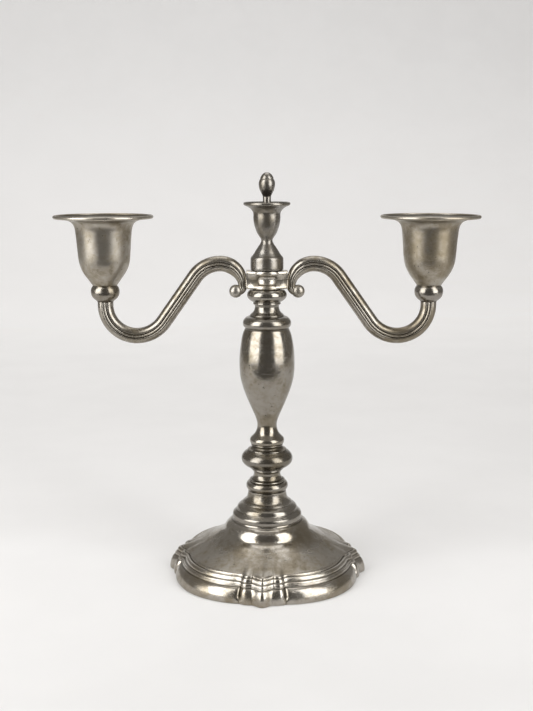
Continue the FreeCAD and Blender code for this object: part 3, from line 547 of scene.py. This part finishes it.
def outer_outline(angle):
    """Radius at the table: a rounded tip, a small lobe and a long bowed side."""
    dip, notch, side = 52.7, 52.2, 54.7
    if angle < TIP_HALF:
        return dip + (OUTER_TIP - dip) * (0.5 + 0.5 * cos(pi * angle / TIP_HALF))
    if angle < NOTCH_ANGLE:
        share = (angle - TIP_HALF) / (NOTCH_ANGLE - TIP_HALF)
        return dip + (notch - dip) * share + 0.5 * sin(pi * share)
    share = (SIDE_MIDDLE - angle) / (SIDE_MIDDLE - NOTCH_ANGLE)
    return side - (side - notch) * share ** 1.8


def crease(angle, height):
    """Depth of the sharp crease beside a lobe; it fades out towards the table."""
    below = exp(-(((min(height, CREASE_FOOT) - CREASE_FOOT) / 1.6) ** 2))
    above = exp(-(((max(height, CREASE_TOP) - CREASE_TOP) / 0.8) ** 2))
    wide = 0.5 * exp(-(((angle - NOTCH_ANGLE) / 1.5) ** 2))
    sharp = 1.1 * exp(-abs(angle - NOTCH_ANGLE) / 0.55)
    return (0.06 + below * above) * (wide + sharp)


# The foot's section from the rim up: height in mm, share of the way from the dome's
# edge (0) to the table (1), and how far the outline is that of the table (1).
FOOT_SECTION = [
    [(0.3, 0.93, 1.0), (0.3, 0.985, 1.0)],
    [(0.9, 1.0, 1.0), (1.9, 1.0, 1.0), (3.2, 0.975, 1.0), (4.6, 0.925, 0.98), (5.9, 0.845, 0.92),
     (7.0, 0.74, 0.8), (7.8, 0.63, 0.65), (8.1, 0.56, 0.5)],
    [(8.25, 0.53, 0.45), (8.8, 0.49, 0.35)],
    [(9.2, 0.475, 0.3), (9.5, 0.45, 0.28), (9.5, 0.415, 0.25)],
    [(9.75, 0.40, 0.22), (10.25, 0.37, 0.2), (10.45, 0.33, 0.18), (10.4, 0.30, 0.18)],
    [(10.6, 0.285, 0.15), (11.3, 0.265, 0.12), (12.1, 0.22, 0.1), (12.7, 0.14, 0.06),
     (12.7, 0.06, 0.0), (12.55, 0.02, 0.0)],
    [(12.35, 0.0, 0.0), (12.35, -0.02, 0.0)],
    [(13.2, -0.045, 0.0)],
]
# The dome from its edge up: radius and height in mm; the brackets fade out on it.
DOME_SECTION = [
    (44.0, 13.9), (41.5, 15.15), (38.6, 16.6), (36.4, 17.75), (34.4, 18.85), (32.1, 20.0), (30.3, 21.0),
    (28.5, 22.0), (26.9, 23.0), (25.6, 24.0), (24.75, 25.0), (24.15, 26.0), (23.6, 27.0), (22.95, 28.0),
    (22.05, 29.0), (20.9, 29.9), (19.9, 30.45), (19.5, 30.9), (19.3, 31.4),
]
BRACKET_HALF = 17.0  # degrees each side of a bracket's middle that get the finer steps
FINE_STEP = 0.3
COARSE_STEP = 0.73
FOOT_HOLLOW = [
    (50.0, 0.3), (50.0, 3.0), (48.4, 7.3), (43.0, 11.6), (35.8, 15.9), (28.0, 20.3),
    (22.2, 24.9), (19.2, 28.7), (16.4, 29.95), (2.1, 29.95), (2.1, 31.4),
]


def foot_angles():
    """Angles round the foot, closer together at the brackets."""
    quarter = list(np.arange(-BRACKET_HALF, BRACKET_HALF, FINE_STEP))
    quarter += list(np.arange(BRACKET_HALF, 90 - BRACKET_HALF, COARSE_STEP))
    return [90 * turn + angle for turn in range(4) for angle in quarter]


def foot_piece():
    angles = foot_angles()
    tip_scale = (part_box("base_shell")[1].x / MM + TIP_SPARE) / OUTER_TIP
    rows = []
    for height, share, blend in outline(FOOT_SECTION):
        ring = []
        for angle in angles:
            away = abs((angle + 45) % 90 - 45)
            inner, outer = inner_outline(away), outer_outline(away)
            radius = inner + share_out(inner, outer, share, blend) - crease(away, height)
            ring.append((radius * tip_scale, angle, height))
        rows.append(ring)
    edge_height = rows[-1][0][2]
    for radius, height in spline(DOME_SECTION, 0.7):
        fade = max(0.0, (radius - BRACKETS_FADE_TO) / (BRACKETS_FADE_FROM - BRACKETS_FADE_TO)) ** 2
        ring = []
        for angle in angles:
            away = abs((angle + 45) % 90 - 45)
            bulge = (inner_outline(away) - DOME_EDGE) * fade
            ring.append((radius + bulge, angle, max(height, edge_height)))
        rows.append(ring)
    for radius, height in outline([[point] for point in FOOT_HOLLOW[::-1]]):
        rows.append([(radius, angle, height) for angle in angles])
    vertices = []
    for ring in rows:
        for radius, angle, height in ring:
            turn = radians(angle + FOOT_TURN)
            spot = (radius * cos(turn), radius * sin(turn), height)
            push = min(0.0, wobble(spot, 5.0, 11, 0.10) - 0.05) if radius > DENTED_OUTSIDE else 0.0
            vertices.append((spot[0] * (1 + push / radius), spot[1] * (1 + push / radius), height))
    piece = new_mesh("foot_shell", vertices, grid_faces(len(rows), len(angles), True))
    finish_piece(piece, "base_shell", SILVER_FOOT)


def share_out(inner, outer, share, blend):
    """Distance out from the dome's edge at one level of the mouldings."""
    plain = share * PLAIN_BAND
    shaped = share * (outer - inner)
    return plain * (1 - blend) + shaped * blend


def felt_piece():
    """Felt disc with a soft cut edge and a slightly uneven underside."""
    runs = [
        [(0, 0.12), (20, 0.05), (40, 0.0), (48.6, 0.0), (49.4, 0.3), (49.6, 0.7), (49.4, 1.1),
         (48.6, 1.2)],
        [(0, 1.2)],
    ]
    lathe("felt_underlay", "base_felt", runs, FELT, segments=180, dent=0.08)


# ---------------------------------------------------------------- the stem


def stem_pieces():
    """The turned pieces stacked on the foot, each outline from its seat up."""
    lathe("foot_collar_ring", "foot_collar", [
        [(19.2, 31.4)],
        [(19.35, 31.9), (19.4, 33.2)],
        [(19.15, 34.4), (18.5, 35.1), (17.5, 36.1)],
        [(17.1, 36.6)],
        [(16.9, 37.2), (16.5, 38.2), (15.8, 38.9), (14.3, 39.8)],
        [(13.6, 40.1)],
        [(13.5, 40.6)],
        [(2.1, 40.6)],
        [(2.1, 31.4)],
        [(19.2, 31.4)],
    ], SILVER_STEM)
    lathe("stem_spool_turning", "stem_spool", [
        [(13.3, 40.6)],
        [(13.6, 40.9), (13.0, 41.25), (12.2, 41.9), (11.5, 43.0), (11.0, 44.6), (10.7, 46.2)],
        [(10.6, 47.3)],
        [(2.1, 47.3)],
        [(2.1, 40.6)],
        [(13.3, 40.6)],
    ], SILVER_STEM)
    lathe("lower_ring_turning", "lower_ring", [
        [(10.3, 47.3)],
        [(10.75, 47.8), (11.45, 48.9), (11.7, 50.0), (11.5, 51.1), (10.9, 52.1)],
        [(10.1, 52.45)],
        [(9.6, 52.6), (9.95, 53.0), (9.85, 53.5), (9.3, 53.8)],
        [(8.8, 54.0), (8.1, 54.8), (7.6, 56.0), (7.5, 57.1), (7.75, 58.2), (8.2, 58.9)],
        [(8.5, 59.2)],
        [(8.4, 59.6)],
        [(2.1, 59.6)],
        [(2.1, 47.3)],
        [(10.3, 47.3)],
    ], SILVER_STEM)
    lathe("knop_turning", "knop", [
        [(8.8, 59.6), (9.2, 59.85), (9.25, 60.2), (9.0, 60.5)],
        [(9.6, 60.7), (10.7, 61.1), (12.1, 62.0), (13.2, 63.0), (13.95, 64.1), (14.3, 65.5),
         (14.2, 66.7), (13.8, 67.7), (13.2, 68.6), (12.3, 69.5), (11.2, 70.2)],
        [(10.8, 70.7)],
        [(2.1, 70.7)],
        [(2.1, 59.6)],
        [(8.8, 59.6)],
    ], SILVER_KNOP)
    lathe("cavetto_ring", "step_ring", [
        [(10.3, 70.7)],
        [(10.7, 70.85), (10.6, 71.15)],
        [(9.6, 71.45), (8.8, 71.95), (8.35, 72.8), (8.6, 73.4)],
        [(8.9, 73.6), (9.0, 73.9), (8.8, 74.1)],
        [(2.1, 74.1)],
        [(2.1, 70.7)],
        [(10.3, 70.7)],
    ], SILVER_STEM)
    lathe("baluster_vase", "baluster", [
        [(8.8, 74.1)],
        [(9.2, 74.5), (9.6, 75.6), (9.6, 76.5), (9.2, 77.5), (8.4, 78.3)],
        [(7.8, 78.9), (6.9, 79.9), (6.2, 81.1), (5.65, 82.8), (5.4, 84.7), (5.6, 86.5), (6.35, 89.0),
         (8.1, 93.1), (10.2, 98.0), (12.3, 103.2), (13.9, 108.2), (14.85, 113.0), (15.2, 118.5),
         (15.1, 124.0), (14.5, 130.0), (13.5, 135.2), (12.3, 138.6)],
        [(12.0, 138.9)],
        [(5.6, 138.9)],
        [(5.6, 137.0)],
        [(5.6, 134.0)],
        [(5.6, 127.0)],
        [(2.1, 120.0)],
        [(2.1, 74.1)],
        [(8.8, 74.1)],
    ], SILVER_BALUSTER, segments=160, dent=0.035)
    lathe("shoulder_ring", "shoulder_collar", [
        [(12.0, 138.9)],
        [(12.1, 139.4), (12.8, 140.2), (13.25, 141.3), (13.25, 142.6), (12.7, 143.9), (11.7, 145.0)],
        [(11.0, 145.4)],
        [(9.9, 145.75)],
        [(9.3, 145.9), (9.35, 146.4), (9.0, 146.8)],
        [(8.7, 147.1), (7.7, 148.0), (7.05, 149.1), (6.7, 150.4), (6.65, 151.3), (6.95, 152.1)],
        [(7.5, 152.4), (7.6, 152.8), (7.4, 153.2)],
        [(5.6, 153.2)],
        [(5.6, 138.9)],
        [(12.0, 138.9)],
    ], SILVER_STEM)
    lathe("socket_cap_ring", "socket_cap", [
        [(7.4, 153.2)],
        [(7.6, 153.4), (7.5, 153.7)],
        [(7.9, 153.8), (8.8, 154.2), (9.9, 155.1), (10.7, 156.1), (11.0, 157.4), (10.7, 158.7),
         (10.0, 159.7)],
        [(9.3, 160.3)],
        [(4.8, 160.3)],
        [(4.8, 153.2)],
        [(7.4, 153.2)],
    ], SILVER_STEM)


# ---------------------------------------------------------------- the branch

HUB_WEB_REACH = 11.2  # mm, the webs' ends, inside the arms' flanks
WEB_STEP = 9.0  # mm, longer than any stretch of a web's ring, so every ring has as many points


def hub_pieces():
    lathe("hub_spool", "hub_collar", [
        [(7.9, 160.5)],
        [(8.3, 160.8), (8.45, 161.5), (8.3, 162.3)],
        [(8.0, 162.8), (7.2, 163.2), (6.6, 163.9), (6.35, 165.2), (6.4, 166.6), (6.9, 167.7),
         (7.7, 168.3)],
        [(8.2, 168.5), (8.75, 169.0), (8.8, 169.8), (8.5, 170.5)],
        [(7.9, 171.1)],
        [(2.1, 171.1)],
        [(2.1, 160.5)],
        [(7.9, 160.5)],
    ], SILVER_HUB, dent=0.04)
    for side in (-1, 1):
        dress(web_piece(side), "branch", SILVER_HUB)


def web_piece(side):
    """Cast web between the hub and one arm: waisted, and flared at both ends."""
    low, high = (corner.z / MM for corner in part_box("hub_collar"))
    rows = []
    # Distance out, half width at the top and bottom edges, depth of the waist between them.
    stations = [(2.6, 7.0, 3.4), (4.6, 6.7, 2.9), (6.4, 5.9, 2.0), (8.0, 5.3, 1.35), (9.4, 4.7, 0.9),
                (10.4, 4.3, 0.6), (HUB_WEB_REACH, 4.1, 0.5)]
    bottom, top = low + 0.5, high - 0.45
    waist = bottom + 0.46 * (top - bottom)
    for out, half, hollow in spline(stations, 0.4):
        near = half - 0.3 * hollow
        flank = spline([
            (half - 0.5, top), (half, top - 0.5), (half, top - 1.7), (near, top - 2.6),
            (half - hollow, waist), (near, bottom + 2.0), (half, bottom + 1.3), (half, bottom + 0.4),
            (half - 0.4, bottom),
        ], WEB_STEP)
        ring = flank + [(-y, z) for y, z in flank[::-1]]
        rows.append([(side * out, y, z) for y, z in ring])
    columns = len(rows[0])
    vertices = [point for ring in rows for point in ring]
    faces = capped_faces(len(rows), columns, side > 0)
    return new_mesh(f"hub_web_{'left' if side < 0 else 'right'}", vertices, faces)


def urn_piece():
    lathe("centre_urn_vase", "centre_urn", [
        [(8.75, 171.1)],
        [(9.0, 171.35), (9.05, 174.0), (9.0, 177.0)],
        [(8.9, 177.6), (8.5, 178.2), (8.1, 178.6)],
        [(7.1, 180.0), (5.9, 182.0), (4.6, 183.9), (3.6, 185.4), (3.15, 186.6), (3.3, 187.6), (4.1, 188.9),
         (5.4, 191.0), (6.4, 193.5), (7.1, 196.2), (7.4, 198.8), (7.4, 201.0), (7.55, 202.0), (8.1, 202.9),
         (9.2, 204.1), (10.6, 205.0)],
        [(11.4, 205.3)],
        [(12.2, 205.6), (12.75, 206.1), (12.8, 206.7), (12.5, 207.25), (12.1, 207.4)],
        [(11.8, 207.2), (11.6, 206.6), (11.2, 205.9)],
        [(10.4, 205.3), (9.0, 204.8), (6.5, 204.5), (3.6, 204.4), (2.25, 204.4)],
        [(2.25, 194.1)],
        [(0, 194.1)],
    ], SILVER_URN, segments=160, inside=6)


def finial_piece():
    lathe("acorn_top", "acorn_finial", [
        [(0, 194.4)],
        [(1.9, 194.4)],
        [(2.2, 194.7)],
        [(2.2, 209.6), (2.25, 210.4), (2.45, 211.0)],
        [(2.8, 211.7), (3.35, 212.8), (3.9, 214.0), (4.25, 215.4), (4.4, 217.0), (4.25, 218.4),
         (3.9, 219.3)],
        [(3.55, 219.6)],
        [(3.6, 220.0), (3.25, 220.9), (2.6, 221.9), (1.7, 222.7), (0.9, 223.1)],
        [(0, 223.2)],
    ], SILVER_URN, segments=96, dent=0.02)


# Arm's centre line, in mm: radii of its bends, from the cup to the hub.
BEND_OUTER = 16.8
BEND_INNER = 18.2
ARCH_OUTER = 16.8
ARCH_INNER = 12.2
ARCH_FROM_AXIS = 25.3
RISE_ANGLE = 54.8
CURL_RADIUS = 3.3
ARM_HALF = 4.3  # half the section's size in the arms' plane
ARM_ACROSS = 4.1  # and across it
SCROLL_BALL = 3.6
SCROLL_PINCH = 0.88  # depth of the scroll's ball over its width

# The arm tapers into its scroll: half thickness at each share of the last quarter turn.
TAPER_TURN = [0, 0.3, 0.55, 0.8, 1.0, 1.3]
TAPER_HALF = [4.28, 4.2, 3.75, 2.9, 2.35, 2.0]

# One flank of the arm's section: along the arms' plane, across it, as shares of half.
ARM_FLANK = [
    [(1.0, 0.0), (0.97, 0.24), (0.86, 0.5), (0.68, 0.72), (0.46, 0.86), (0.31, 0.885)],
    [(0.25, 0.85), (0.21, 0.74)],
    [(0.17, 0.74), (0.13, 0.87), (0.0, 0.96), (-0.13, 0.87), (-0.17, 0.74)],
    [(-0.21, 0.74), (-0.25, 0.85)],
    [(-0.31, 0.885), (-0.46, 0.86), (-0.68, 0.72), (-0.86, 0.5), (-0.97, 0.24), (-1.0, 0.0)],
]


def arm_section():
    """The whole section as a closed ring, from one flank and its mirror."""
    flank = [p * ARM_HALF for p in outline(ARM_FLANK)]
    mirrored = [np.array((p[0], -p[1])) for p in flank[::-1]]
    return [p / ARM_HALF for p in flank[:-1] + mirrored[:-1]]


def arm_line():
    """Centre line points (x, z) on the -X side and the half thickness at each."""
    reach = -(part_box("left_cup")[0].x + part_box("left_cup")[1].x) / 2 / MM
    end_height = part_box("left_ball_knop")[0].z / MM
    arch_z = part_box("left_arm")[1].z / MM - ARM_HALF
    slope = radians(RISE_ANGLE)
    bottom_x = -reach + BEND_OUTER
    rise_x = bottom_x + BEND_INNER * sin(slope)
    top_x = -ARCH_FROM_AXIS - ARCH_OUTER * sin(slope)
    top_z = arch_z - ARCH_OUTER * (1 - cos(slope))
    rise_z = top_z - (top_x - rise_x) * tan(slope)
    bottom_z = rise_z - BEND_INNER * (1 - cos(slope))
    points = [(-reach, end_height)]

    def arc(x, z, radius, start, end):
        steps = ceil(abs(radians(end - start)) * max(radius, 8) / 0.6)
        for step in range(1, steps + 1):
            turn = radians(start + (end - start) * step / steps)
            points.append((x + radius * cos(turn), z + radius * sin(turn)))

    arc(bottom_x, bottom_z + BEND_OUTER, BEND_OUTER, 180, 270)
    arc(bottom_x, bottom_z + BEND_INNER, BEND_INNER, 270, 270 + RISE_ANGLE)
    arc(-ARCH_FROM_AXIS, arch_z - ARCH_OUTER, ARCH_OUTER, 90 + RISE_ANGLE, 90)
    arc(-ARCH_FROM_AXIS, arch_z - ARCH_INNER, ARCH_INNER, 90, 0)
    arc(-ARCH_FROM_AXIS + ARCH_INNER - CURL_RADIUS, arch_z - ARCH_INNER, CURL_RADIUS, 0, -100)
    points = [points[0]] + [p for a, b in zip(points, points[1:]) for p in stretch_points(a, b)]
    halves = []
    for x, z in points:
        turned = 0.0
        if x > -ARCH_FROM_AXIS:
            turned = atan2(x + ARCH_FROM_AXIS, z - (arch_z - ARCH_INNER)) / (pi / 2)
        halves.append(float(np.interp(turned, TAPER_TURN, TAPER_HALF)))
    return points, halves


def stretch_points(a, b, longest=0.7):
    """Even points from a, which is left out, to b."""
    along, up = b[0] - a[0], b[1] - a[1]
    count = max(1, ceil((along ** 2 + up ** 2) ** 0.5 / longest))
    return [(a[0] + along * i / count, a[1] + up * i / count) for i in range(1, count + 1)]


def arm_piece(label, side):
    """One reeded arm, swept along its centre line, tapering into its scroll."""
    points, halves = arm_line()
    section = arm_section()
    columns = len(section)
    line = np.array(points)
    ways = np.gradient(line, axis=0)
    ways /= np.linalg.norm(ways, axis=1)[:, None]
    ways[0] = (0, -1)
    vertices = []
    for (x, z), way, half in zip(points, ways, halves):
        wide = half * ARM_ACROSS / ARM_HALF
        for along, across in section:
            u, v = along * half, across * wide
            spot = (x + way[1] * u, v, z - way[0] * u)
            push = wobble((spot[0] * side, spot[1], spot[2]), 7 + side, 10, 0.05)
            vertices.append((-side * spot[0], spot[1] * (1 + push / 4), spot[2]))
    faces = capped_faces(len(points), columns, side > 0)
    piece = new_mesh(f"{label}_arm_casting", vertices, faces)
    finish_piece(piece, f"{label}_arm", SILVER_ARMS)
    ball = scroll_ball(f"{label}_scroll_ball", points[-1], side)
    dress(ball, "branch", SILVER_SCROLLS)


def scroll_ball(name, end, side, rows=40, columns=64):
    """Button at the scroll's end: a ball pinched slightly front to back."""
    centre = (-side * end[0], end[1] + 0.4)
    depth = SCROLL_PINCH * SCROLL_BALL
    vertices = [(centre[0], -depth, centre[1])]
    for row in range(1, rows):
        polar = pi * row / rows
        ring = SCROLL_BALL * sin(polar)
        for column in range(columns):
            turn = 2 * pi * column / columns
            x, z = centre[0] + ring * cos(turn), centre[1] + ring * sin(turn)
            vertices.append((x, -depth * cos(polar), z))
    vertices.append((centre[0], depth, centre[1]))
    faces = [tuple(i + 1 for i in face) for face in grid_faces(rows - 1, columns)]
    last = len(vertices) - 1
    for column in range(columns):
        beside = (column + 1) % columns
        faces.append((0, 1 + beside, 1 + column))
        faces.append((last, last - columns + column, last - columns + beside))
    return new_mesh(name, vertices, [tuple(reversed(face)) for face in faces])


def candle_side(label):
    """Ball knop, cup and lift-out nozzle of one candle."""
    lathe(f"{label}_ball_turning", f"{label}_ball_knop", [
        [(4.6, 153.9)],
        [(4.75, 154.2), (5.7, 154.9), (6.7, 155.9), (7.4, 157.1), (7.75, 158.6), (7.75, 160.1),
         (7.4, 161.3), (6.9, 162.1)],
        [(6.6, 162.5)],
        [(1.6, 162.5)],
        [(1.6, 153.9)],
        [(4.6, 153.9)],
    ], SILVER_STEM)
    lathe(f"{label}_candle_cup", f"{label}_cup", [
        [(6.5, 162.5)],
        [(6.9, 163.0), (8.3, 165.0), (10.5, 168.0), (12.25, 171.0), (13.4, 174.0), (13.95, 177.0),
         (14.3, 181.0), (14.7, 186.0), (15.1, 190.5), (15.45, 193.2), (16.1, 195.2), (17.3, 196.7),
         (19.6, 197.8), (22.6, 198.4), (25.3, 198.65)],
        [(25.9, 198.6)],
        [(26.5, 198.7), (26.95, 199.2), (27.0, 199.75), (26.7, 200.3), (26.2, 200.5), (25.7, 200.3),
         (25.4, 199.8)],
        [(24.9, 199.45), (21.5, 198.8), (18.6, 198.1), (16.2, 196.8), (14.8, 194.6), (14.3, 191.0),
         (13.9, 186.0), (13.45, 180.0), (12.9, 175.5), (11.8, 172.3), (9.9, 169.0), (8.4, 166.6)],
        [(7.4, 165.2), (6.2, 164.0)],
        [(1.6, 164.0)],
        [(1.6, 162.5)],
        [(6.5, 162.5)],
    ], SILVER_CUPS, segments=176, dent=0.05, inside=4)
    lathe(f"{label}_lift_out_nozzle", f"{label}_nozzle", [
        [(8.75, 175.1)],
        [(11.6, 175.1)],
        [(11.95, 175.5)],
        [(11.95, 195.0), (12.15, 195.9), (12.9, 196.6)],
        [(14.6, 197.3), (16.4, 197.6)],
        [(16.9, 197.75), (17.2, 198.2), (17.15, 198.7), (16.7, 199.0)],
        [(16.2, 198.85), (14.3, 198.45), (12.7, 197.8), (11.6, 197.0)],
        [(11.25, 196.6)],
        [(11.25, 176.3)],
        [(8.75, 176.3)],
        [(8.75, 175.1)],
    ], SILVER_NOZZLES, dent=0.015)


def hardware():
    """Hidden fittings keep their CAD shape and get a worked finish."""
    for node, material in (
        ("base_weight", FILLER),
        ("tie_rod", STEEL), ("tie_rod_washer", STEEL), ("tie_rod_nut", STEEL),
        ("socket_tube", BRASS), ("spigot_sleeve", BRASS), ("branch_spigot", BRASS),
        ("branch_stud", STEEL), ("left_cup_screw", STEEL), ("right_cup_screw", STEEL),
    ):
        for material_slot in frame["nodes"][node].material_slots:
            material_slot.material = material


foot_piece()
felt_piece()
stem_pieces()
hub_pieces()
urn_piece()
finial_piece()
arm_piece("left", -1)
arm_piece("right", 1)
candle_side("left")
candle_side("right")
hardware()

# ---------------------------------------------------------------- studio


TABLE_FRONT = -0.235  # m, the table's front edge
WALL_SIDE = 0.85
WALL_BACK = 2.2
WALL_BEND = 0.9  # m, radius of the cloth's sweep
WALL_TOP = 3.0
SOFTBOX_DISTANCE = 0.78  # m, from the object's axis


def stage_piece(name, vertices, faces, material):
    mesh = bpy.data.meshes.new(name)
    mesh.from_pydata(vertices, [], faces)
    mesh.shade_smooth()
    piece = bpy.data.objects.new(name, mesh)
    bpy.context.scene.collection.objects.link(piece)
    mesh.materials.append(material)
    return piece


def flat_sheet(name, left, right, front, back, height, material):
    corners = [(left, front, height), (right, front, height), (right, back, height), (left, back, height)]
    return stage_piece(name, corners, [(0, 1, 2, 3)], material)


def backdrop(material):
    """A pale table whose cloth sweeps up into a wall behind."""
    bend, steps = WALL_BEND, 24
    line = [(TABLE_FRONT, 0.0), (WALL_BACK - bend, 0.0)]
    for step in range(1, steps + 1):
        turn = pi / 2 * step / steps
        line.append((WALL_BACK - bend + bend * sin(turn), bend - bend * cos(turn)))
    line.append((WALL_BACK, WALL_TOP))
    vertices, faces = [], []
    for y, z in line:
        vertices += [(-WALL_SIDE, y, z), (WALL_SIDE, y, z)]
    for step in range(len(line) - 1):
        faces.append((2 * step, 2 * step + 1, 2 * step + 3, 2 * step + 2))
    stage_piece("studio_sweep", vertices, faces, material)
    # The floor beyond the table keeps other views plain; the metal doesn't mirror it.
    outer = flat_sheet("studio_floor", -4, 4, -4, 4, -0.0006, material)
    outer.visible_glossy = False


def studio_white():
    shader = Shader("studio_white")
    place = shader.place()
    grain = shader.cloud(place, 12, 3)
    colour = shader.mix(shader.ramp(grain, 0.3, 0.7), (0.635, 0.63, 0.625, 1), (0.655, 0.65, 0.645, 1))
    shader.join(colour, shader.surface.inputs["Base Color"])
    shader.surface.inputs["Roughness"].default_value = 0.9
    shader.surface.inputs["Specular IOR Level"].default_value = 0.1
    # The cloth glows a little, more towards the wall and its left, as a lit backdrop does.
    spot = shader.add("ShaderNodeSeparateXYZ")
    shader.join(place, spot.inputs[0])
    glow = shader.ramp(spot.outputs["Y"], -0.2, -0.03, 0.05, 0.14)
    glow = shader.math("ADD", glow, shader.ramp(spot.outputs["Y"], 0.1, 1.2, 0.0, 0.24))
    glow = shader.math("ADD", glow, shader.ramp(spot.outputs["Z"], 0.1, 0.7, 0.0, -0.10))
    glow = shader.math("ADD", glow, shader.ramp(spot.outputs["X"], -1.0, 1.0, 0.03, -0.03), clamp=True)
    shader.surface.inputs["Emission Color"].default_value = (1.0, 0.988, 0.982, 1)
    shader.join(glow, shader.surface.inputs["Emission Strength"])
    return shader.material


def area_light(name, place, aim, width, height, radiance, colour=(1, 1, 1)):
    """A softbox of a given brightness, not seen by the camera."""
    light = bpy.data.lights.new(name, "AREA")
    light.shape = "RECTANGLE"
    light.size = width
    light.size_y = height
    light.energy = radiance * pi * width * height
    light.color = colour
    lamp = bpy.data.objects.new(name, light)
    lamp.location = place
    lamp.rotation_euler = (Vector(aim) - Vector(place)).to_track_quat("-Z", "Y").to_euler()
    lamp.visible_camera = False
    bpy.context.scene.collection.objects.link(lamp)


def studio_lights():
    """Two tall softboxes beside the table, and a weaker one over its back."""
    bottom, top = 0.04, 1.3
    middle = (bottom + top) / 2
    for name, azimuth, width, radiance in (
        ("softbox_left", -56, 0.6, 4.3), ("softbox_right", 52, 0.5, 4.1),
    ):
        turn = radians(azimuth)
        spot = (SOFTBOX_DISTANCE * sin(turn), -SOFTBOX_DISTANCE * cos(turn), middle)
        area_light(name, spot, (0, 0, middle), width, top - bottom, radiance)
    area_light("overhead", (0, 0.7, 2.2), (0, 0.3, 0), 1.6, 1.6, 1.3)


def room():
    """Dim room: dark round the camera, paler at the sides, back and above."""
    world = bpy.data.worlds.new("studio_room")
    bpy.context.scene.world = world
    world.use_nodes = True
    tree = world.node_tree
    background = tree.nodes["Background"]

    def add(kind, **settings):
        made = tree.nodes.new(kind)
        for setting, value in settings.items():
            setattr(made, setting, value)
        return made

    def span(source, low, high, out_low, out_high):
        made = add("ShaderNodeMapRange", interpolation_type="SMOOTHSTEP")
        tree.links.new(source, made.inputs["Value"])
        spans = {"From Min": low, "From Max": high, "To Min": out_low, "To Max": out_high}
        for socket, value in spans.items():
            made.inputs[socket].default_value = value
        return made.outputs["Result"]

    way = add("ShaderNodeSeparateXYZ")
    tree.links.new(add("ShaderNodeTexCoord").outputs["Generated"], way.inputs[0])
    back = span(way.outputs["Y"], -0.8, 0.5, 0.17, 0.32)
    above = span(way.outputs["Z"], 0.7, 0.98, 0.0, 0.3)
    total = add("ShaderNodeMath", operation="ADD")
    tree.links.new(back, total.inputs[0])
    tree.links.new(above, total.inputs[1])
    path = add("ShaderNodeLightPath")
    seen = add("ShaderNodeMix", data_type="FLOAT")
    tree.links.new(path.outputs["Is Camera Ray"], seen.inputs["Factor"])
    tree.links.new(total.outputs[0], seen.inputs["A"])
    seen.inputs["B"].default_value = 0.82
    tree.links.new(seen.outputs["Result"], background.inputs["Strength"])
    background.inputs["Color"].default_value = (1.0, 0.96, 0.91, 1)


def camera():
    """The photograph's viewpoint: a little above the finial, looking slightly down."""
    lens = bpy.data.cameras.new("camera")
    lens.sensor_width = 36
    lens.lens = 53.3
    lens.clip_start = 0.01
    viewer = bpy.data.objects.new("camera", lens)
    viewer.location = (-0.0002, -0.5707, 0.2254)
    viewer.rotation_euler = (radians(90 - 10.1), radians(0.04), 0)
    bpy.context.scene.collection.objects.link(viewer)
    bpy.context.scene.camera = viewer


backdrop(studio_white())
studio_lights()
room()
camera()
bpy.context.scene.view_settings.view_transform = "Standard"
